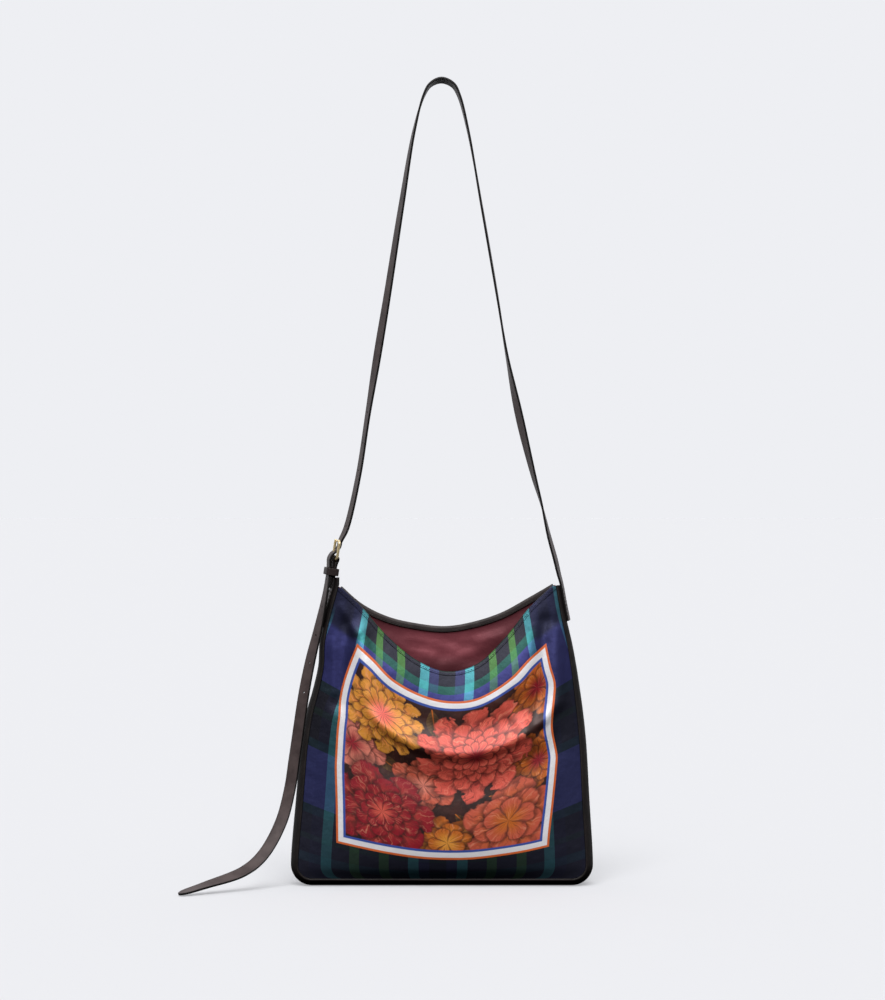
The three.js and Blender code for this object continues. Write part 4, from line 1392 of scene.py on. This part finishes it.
def band_along(rows, step=2.5):
    points = np.stack([rows["x"], rows["depth"], rows["height"]], axis=-1)
    steps = np.maximum(3, np.ceil(np.linalg.norm(np.diff(points, axis=0), axis=1) / step)).astype(int)
    place, share = curve_through(points, steps)
    known = {"share": np.linspace(0, 1, len(points)), "roll": rows["roll"]}
    roll = reading(known, "share", "roll")(share)
    face, wide = band_directions(unit(np.gradient(place, axis=0)), roll)
    return Band(place, face, wide, distance_along(place))


def joined(*tables):
    """Tables with the same columns, one after the other."""
    return {name: np.concatenate([rows[name] for rows in tables]) for name in tables[0]}


def turn_matrix():
    """Turn of the buckle: local X points out of the strap's outer face and local Z up the strap."""
    c, s = math.cos(BUCKLE_LEAN), math.sin(BUCKLE_LEAN)
    lean = np.array([[c, 0, s], [0, 1, 0], [-s, 0, c]])
    c, s = math.cos(math.pi + BUCKLE_TURN), math.sin(math.pi + BUCKLE_TURN)
    return lean @ np.array([[c, -s, 0], [s, c, 0], [0, 0, 1]])


BUCKLE_MATRIX = turn_matrix()


def from_buckle(points):
    return np.asarray(points) @ BUCKLE_MATRIX.T + BUCKLE_PLACE


def buckle_rows(out, up):
    """Places seen from the buckle as rows of a strap's table, rolled so that it lies along the bars."""
    local = np.stack([out, np.zeros_like(out), up], axis=-1)
    bars = np.array([0, -1, 0]) @ BUCKLE_MATRIX.T
    before = np.concatenate([local[:1], local[:-1]])
    after = np.concatenate([local[1:], local[-1:]])
    face, wide = band_directions(unit((after - before) @ BUCKLE_MATRIX.T), np.zeros(len(out)))
    roll = np.degrees(np.arctan2(face @ bars, wide @ bars))
    x, depth, height = from_buckle(local).T
    return {"x": x, "depth": depth, "height": height, "roll": roll}


def seat_rows(heights, outline, away, roll):
    """Rows of a strap that lies on the outside of the gusset."""
    heights = np.array(heights, float)
    level = np.zeros_like(heights)
    return {"x": outline(heights) + away, "depth": level, "height": heights, "roll": level + roll}


def strap_seat(heights):
    return seat_rows(heights, right_at, SEAT_GAP + STRAP_THICK / 2, STRAP_SEAT_ROLL)


def tab_seat(heights):
    return seat_rows(heights, left_at, -TAB_SEAT_GAP - TAB_THICK / 2, TAB_SEAT_ROLL)


def tip_share(left):
    """Width of the strap near its rounded tip, as a share of the full width."""
    gone = np.clip(1 - left / TIP_LENGTH, 0, 1)
    return TIP_END_SHARE + (1 - TIP_END_SHARE) * np.sqrt(1 - gone**2)


def band_piece(name, band, section, share):
    """A strap's mesh, with the places through it and across it as surface coordinates."""
    wide = band.wide * share[:, None]
    points, faces = sweep(rings_along(band.place, band.face, wide, section))
    return make_object(name, points, faces, {"band": np.tile(section, (len(band.run), 1))})


def cut(piece, cutter):
    """Cuts one mesh out of another and removes the cutter."""
    modifier = piece.modifiers.new("cut", "BOOLEAN")
    modifier.object = cutter
    modifier.operation = "DIFFERENCE"
    modifier.solver = "EXACT"
    bpy.context.view_layer.update()
    shown = piece.evaluated_get(bpy.context.evaluated_depsgraph_get())
    mesh = bpy.data.meshes.new_from_object(shown)
    mesh.set_sharp_from_angle(angle=math.radians(SHARP_EDGE))
    piece.modifiers.clear()
    piece.data = mesh
    bpy.data.objects.remove(cutter)


def rods(starts, ends, radius):
    """Points and faces of round rods between pairs of places."""
    section = round_section(radius, sides=20)
    parts = []
    for start, end in zip(starts, ends):
        travel = unit(end - start)
        first = unit(np.cross(travel, (0.3, 1, 0.2)))
        pair = np.stack([start, end])
        parts.append(sweep(rings_along(pair, first, np.cross(travel, first), section)))
    return gathered(parts)


def strap_punches(band):
    """Points and faces of what is cut out of the strap: a row of holes, and room for the prong."""
    crossing = from_buckle([PRONG_OUT, 0, STRAP_CROSSING])
    middle = band.run[np.linalg.norm(band.place - crossing, axis=1).argmin()]
    steps = [step for step in range(-HOLES_EACH_WAY, HOLES_EACH_WAY + 1) if step]
    at = np.array([np.abs(band.run - middle - step * HOLE_SPACING).argmin() for step in steps])
    punch = 2 * STRAP_THICK * band.face[at]
    prong = from_buckle([[PRONG_OUT, 0, -FRAME_HALF_HEIGHT], [PRONG_OUT, 0, FRAME_HALF_HEIGHT]])
    starts = np.concatenate([band.place[at] - punch, prong[:1]])
    ends = np.concatenate([band.place[at] + punch, prong[1:]])
    return rods(starts, ends, HOLE_RADIUS)


def leather_strap(material):
    rows = joined(
        strap_seat((*STRAP_SEAT, RIGHT_TOP + SEAT_RISE)),
        STRAP_LOOP,
        buckle_rows(STRAP_IN_BUCKLE["out"], STRAP_IN_BUCKLE["up"]),
        STRAP_TAIL,
    )
    band = band_along(rows)
    section = rounded_box(STRAP_THICK / 2, STRAP_WIDTH / 2, EDGE_ROUND, face_steps=6)
    piece = band_piece("strap_leather", band, section, tip_share(band.run[-1] - band.run))
    points, faces = strap_punches(band)
    cut(piece, make_object("punches", points, faces))
    return finish_piece(piece, [material], "strap")


def buckle_tab(material):
    """Tab folded round the heel bar, its upper layer free and its lower one seated on the gusset."""
    layer = SEAM_GAP / 2 + TAB_THICK / 2
    bend = FRAME_WIRE + SEAM_GAP + TAB_THICK / 2
    angle = np.linspace(np.pi, 0, 13)
    layers = layer + np.array(TAB_SPREAD)
    out = np.concatenate([-layers, bend * np.cos(angle), layers[::-1]])
    rise = -FRAME_HALF_HEIGHT + bend * np.sin(angle)
    up = np.concatenate([TAB_LOWER, rise, TAB_UPPER])
    rows = joined(tab_seat((*TAB_SEAT, LEFT_TOP + SEAT_RISE)), buckle_rows(out, up))
    band = band_along(rows, step=1.5)
    section = rounded_box(TAB_THICK / 2, STRAP_WIDTH / 2, EDGE_ROUND, face_steps=6)
    piece = band_piece("tab_leather", band, section, np.ones_like(band.run))
    box = np.array([[x, y, z] for x in (-1, 1) for y in (-1, 1) for z in (-1, 1)]) * np.array(TAB_SLOT) / 2
    box[:, 2] += TAB_SLOT_RISE - FRAME_HALF_HEIGHT
    sides = [(0, 1, 3, 2), (4, 6, 7, 5), (0, 4, 5, 1), (2, 3, 7, 6), (0, 2, 6, 4), (1, 5, 7, 3)]
    cut(piece, make_object("slot", from_buckle(box), sides))
    return finish_piece(piece, [material], "buckle_tab")


def buckle_frame(material):
    """Closed wire round a rectangle, heel bar below and top bar above."""
    path, away = rounded_path(FRAME_HALF_WIDTH, FRAME_HALF_HEIGHT, FRAME_CORNER, steps=10)
    flat = np.zeros((len(path), 1))
    places = np.concatenate([flat, path], axis=1)
    first = np.concatenate([flat, away], axis=1)
    second = np.array([-1.0, 0.0, 0.0])
    points, faces = sweep(rings_along(places, first, second, round_section(FRAME_WIRE)), closed=True)
    piece = make_object("buckle_brass", from_buckle(points), faces, sharp=80)
    return finish_piece(piece, [material], "buckle_frame")


def buckle_prong(material):
    """Rod that hooks under the heel bar, runs up to the top bar and ends in a rounded tip."""
    hook = np.linspace(-PRONG_HOOK, 0, 28, endpoint=False)
    curl_away = np.stack([np.cos(hook), 0 * hook, np.sin(hook)], axis=-1)
    curl = PRONG_OUT * curl_away - (0, 0, FRAME_HALF_HEIGHT)
    end = FRAME_HALF_HEIGHT + PRONG_OVERHANG
    stem = np.linspace(-FRAME_HALF_HEIGHT, end - PRONG_WIRE, 14)
    up = np.concatenate([stem, end - PRONG_WIRE * PRONG_TIP["left"]])
    straight = np.stack([np.full_like(up, PRONG_OUT), 0 * up, up], axis=-1)
    places = np.concatenate([curl, straight])
    away = np.concatenate([curl_away, np.tile([1.0, 0.0, 0.0], (len(up), 1))])
    thin = np.concatenate([np.ones(len(hook) + len(stem)), PRONG_TIP["thin"]])[:, None]
    rings = rings_along(places, away * thin, np.array([0.0, 1.0, 0.0]) * thin, round_section(PRONG_WIRE))
    points, faces = sweep(rings)
    piece = make_object("prong_brass", from_buckle(points), faces, sharp=80)
    return finish_piece(piece, [material], "buckle_prong")


def strap_keeper(material):
    """Loop of leather round the tab and the tail."""
    middle = (KEEPER_INSIDE + KEEPER_OUTSIDE) / 2
    half_out = (KEEPER_OUTSIDE - KEEPER_INSIDE + KEEPER_WALL) / 2
    half_wide = STRAP_WIDTH / 2 + KEEPER_PLAY + KEEPER_WALL / 2
    path, away = rounded_path(half_out, half_wide, KEEPER_CORNER, steps=6)
    level = np.full((len(path), 1), -KEEPER_DOWN)
    places = np.concatenate([path + (middle, 0), level], axis=1)
    first = np.concatenate([away, 0 * level], axis=1)
    section = rounded_box(KEEPER_WALL / 2, KEEPER_HEIGHT / 2, KEEPER_EDGE, face_steps=4)
    points, faces = sweep(rings_along(places, first, np.array([0.0, 0.0, 1.0]), section), closed=True)
    piece = make_object("keeper_leather", from_buckle(points), faces)
    return finish_piece(piece, [material], "keeper")


# Stitches


def stitches(name, places, travel, normal, material):
    """A row of short threads lying on a surface, each bowed up a little in its middle."""
    t = np.linspace(-1, 1, 7)[:, None]
    arch = np.sqrt(np.clip(1 - t**2, 0.02, 1))
    thick = np.maximum(arch, STITCH_END)
    section = round_section(STITCH_RADIUS, sides=6)
    parts = []
    for spot, along, up in zip(places, travel, normal):
        line = spot + t * along * STITCH_LENGTH / 2 + (arch - STITCH_SUNK) * up * STITCH_RADIUS
        parts.append(sweep(rings_along(line, up * thick, np.cross(along, up) * thick, section)))
    points, faces = gathered(parts)
    piece = make_object(name, points, faces, sharp=80)
    return finish_piece(piece, [material], None)


def every(run, start, end, step):
    """Indices of the stations nearest to evenly spaced distances."""
    wanted = np.arange(start, end, step)
    return np.array([np.abs(run - distance).argmin() for distance in wanted])


def mouth_stitches(name, panel, out, material):
    """Stitches along a binding, a little above its lower edge, at a distance out of the bag or into it."""
    edge, travel, rise, outward = mouth_frame(panel, samples=900)
    run = distance_along(edge)
    at = every(run, start=4, end=run[-1] - 3, step=STITCH_STEP)
    places = edge[at] - rise[at] * STITCH_DOWN + outward[at] * out
    return stitches(name, places, travel[at], outward[at] * np.sign(out), material)


def seat_stitches(name, seat, thick, side, material):
    """Two short rows of stitches where a strap is sewn to the gusset."""
    centre = np.stack([seat["x"], seat["depth"], seat["height"]], axis=-1)
    travel = unit(np.gradient(centre, axis=0))
    face, wide = band_directions(travel, seat["roll"])
    places = [centre + side * face * thick / 2 + wide * row * STITCH_ROW for row in (-1, 1)]
    both = np.concatenate(places)
    return stitches(name, both, np.tile(travel, (2, 1)), np.tile(side * face, (2, 1)), material)


# Stage


def stage_sheet(name, corners, material, *unseen_by):
    """A flat piece of the stage that isn't seen by some kinds of ray."""
    sheet = make_object(name, np.array(corners, float), [(0, 1, 2, 3)])
    sheet.data.materials.append(material)
    for kind in unseen_by:
        setattr(sheet, "visible_" + kind, False)
    return sheet


def pale_floor():
    material = new_material(
        "pale_floor",
        Base_Color=(0.43, 0.433, 0.449, 1),
        Emission_Color=(0.855, 0.863, 0.896, 1),
        Emission_Strength=0.4,
        Roughness=1.0,
        Specular_IOR_Level=0.0,
    )[0]
    far, z = FLOOR_REACH, -FLOOR_BELOW
    corners = [(-far, -far, z), (far, -far, z), (far, far, z), (-far, far, z)]
    floor = stage_sheet("floor", corners, material, "diffuse", "glossy")


def pale_world():
    world = bpy.data.worlds.new("pale_world")
    world.use_nodes = True
    ground = world.node_tree.nodes["Background"]
    ground.inputs["Color"].default_value = BACKDROP
    bpy.context.scene.world = world
    world.cycles_visibility.diffuse = False
    world.cycles_visibility.glossy = False


def add_light(name, strength, from_way, wide):
    """A broad far light, so that the whole floor is lit evenly."""
    data = bpy.data.lights.new(name, "SUN")
    data.energy = strength
    data.angle = math.radians(wide)
    lamp = bpy.data.objects.new(name, data)
    lamp.rotation_euler = (-Vector(from_way)).to_track_quat("-Z", "Y").to_euler()
    bpy.context.scene.collection.objects.link(lamp)


def studio_lights():
    add_light("dome", strength=1.6, from_way=(0.0, 0.25, 1.0), wide=150)
    add_light("key", strength=2.97, from_way=(-0.06, -0.8, 0.9), wide=40)


def white_card():
    """A bright card behind the bag that only shows as a glint on smooth edges."""
    light = {"Emission_Color": BACKDROP, "Emission_Strength": 1.0}
    material = new_material("white_card", Base_Color=(0, 0, 0, 1), **light)[0]
    half, height, away = CARD
    corners = [(-half, away, 0), (half, away, 0), (half, away, height), (-half, away, height)]
    card = stage_sheet("card", corners, material, "camera", "diffuse", "shadow")


def photo_camera():
    data = bpy.data.cameras.new("camera")
    data.sensor_fit = "VERTICAL"
    data.sensor_height = 24.0
    data.lens = data.sensor_height * CAMERA_AWAY / FRAME_TALL
    camera = bpy.data.objects.new("camera", data)
    camera.location = np.array([FRAME_MIDDLE, -CAMERA_AWAY, CAMERA_HEIGHT - HANG_HEIGHT]) * MM
    camera.rotation_euler = (math.pi / 2, 0, 0)
    bpy.context.scene.collection.objects.link(camera)
    bpy.context.scene.camera = camera


def set_stage():
    bpy.context.scene.view_settings.view_transform = "Standard"
    photo_camera()
    pale_floor()
    pale_world()
    studio_lights()
    white_card()


def strap_and_buckle():
    """The strap, and the tab, buckle and keeper that hold it."""
    straps = strap_leather()
    brass = polished_brass()
    leather_strap(straps)
    buckle_tab(straps)
    buckle_frame(brass)
    buckle_prong(brass)
    strap_keeper(smooth_leather("brown_leather", BROWN_LEATHER))


def sewn_rows():
    """Stitches on the bindings and the seats. Returns those of the hem."""
    dark_thread = thread("dark_thread", DARK_THREAD)
    hem_out = CLOTH / 2 + BINDING_GAP + HEM["wall"]
    band_in = LINING_INSET + LINING / 2 + BINDING_GAP + BAND["wall"]
    hem_row = mouth_stitches("hem_stitches", FRONT, hem_out, thread("navy_thread", NAVY_THREAD))
    mouth_stitches("band_stitches", BACK, -band_in, dark_thread)
    seat_stitches("strap_stitches", strap_seat(STRAP_STITCHES), STRAP_THICK, 1, dark_thread)
    seat_stitches("tab_stitches", tab_seat(TAB_STITCHES), TAB_THICK, -1, dark_thread)
    return hem_row


def build():
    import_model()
    set_stage()

    front = front_cloth()
    checks = front.data.materials[0]
    back = back_cloth(checks)
    pouch = lining_pouch(lining_satin())
    gusset_leather(smooth_leather("dark_leather", DARK_LEATHER))
    hem = mouth_binding("front_hem", FRONT, HEM, checks, "front_binding")
    # The back band's leather is painted lighter as sheen
    band_sheen_leather = smooth_leather("band_sheen_leather", BAND_LEATHER_SHEEN)
    mouth_binding("back_band", BACK, BAND, band_sheen_leather, "back_binding")
    strap_and_buckle()
    hem_row = sewn_rows()


build()
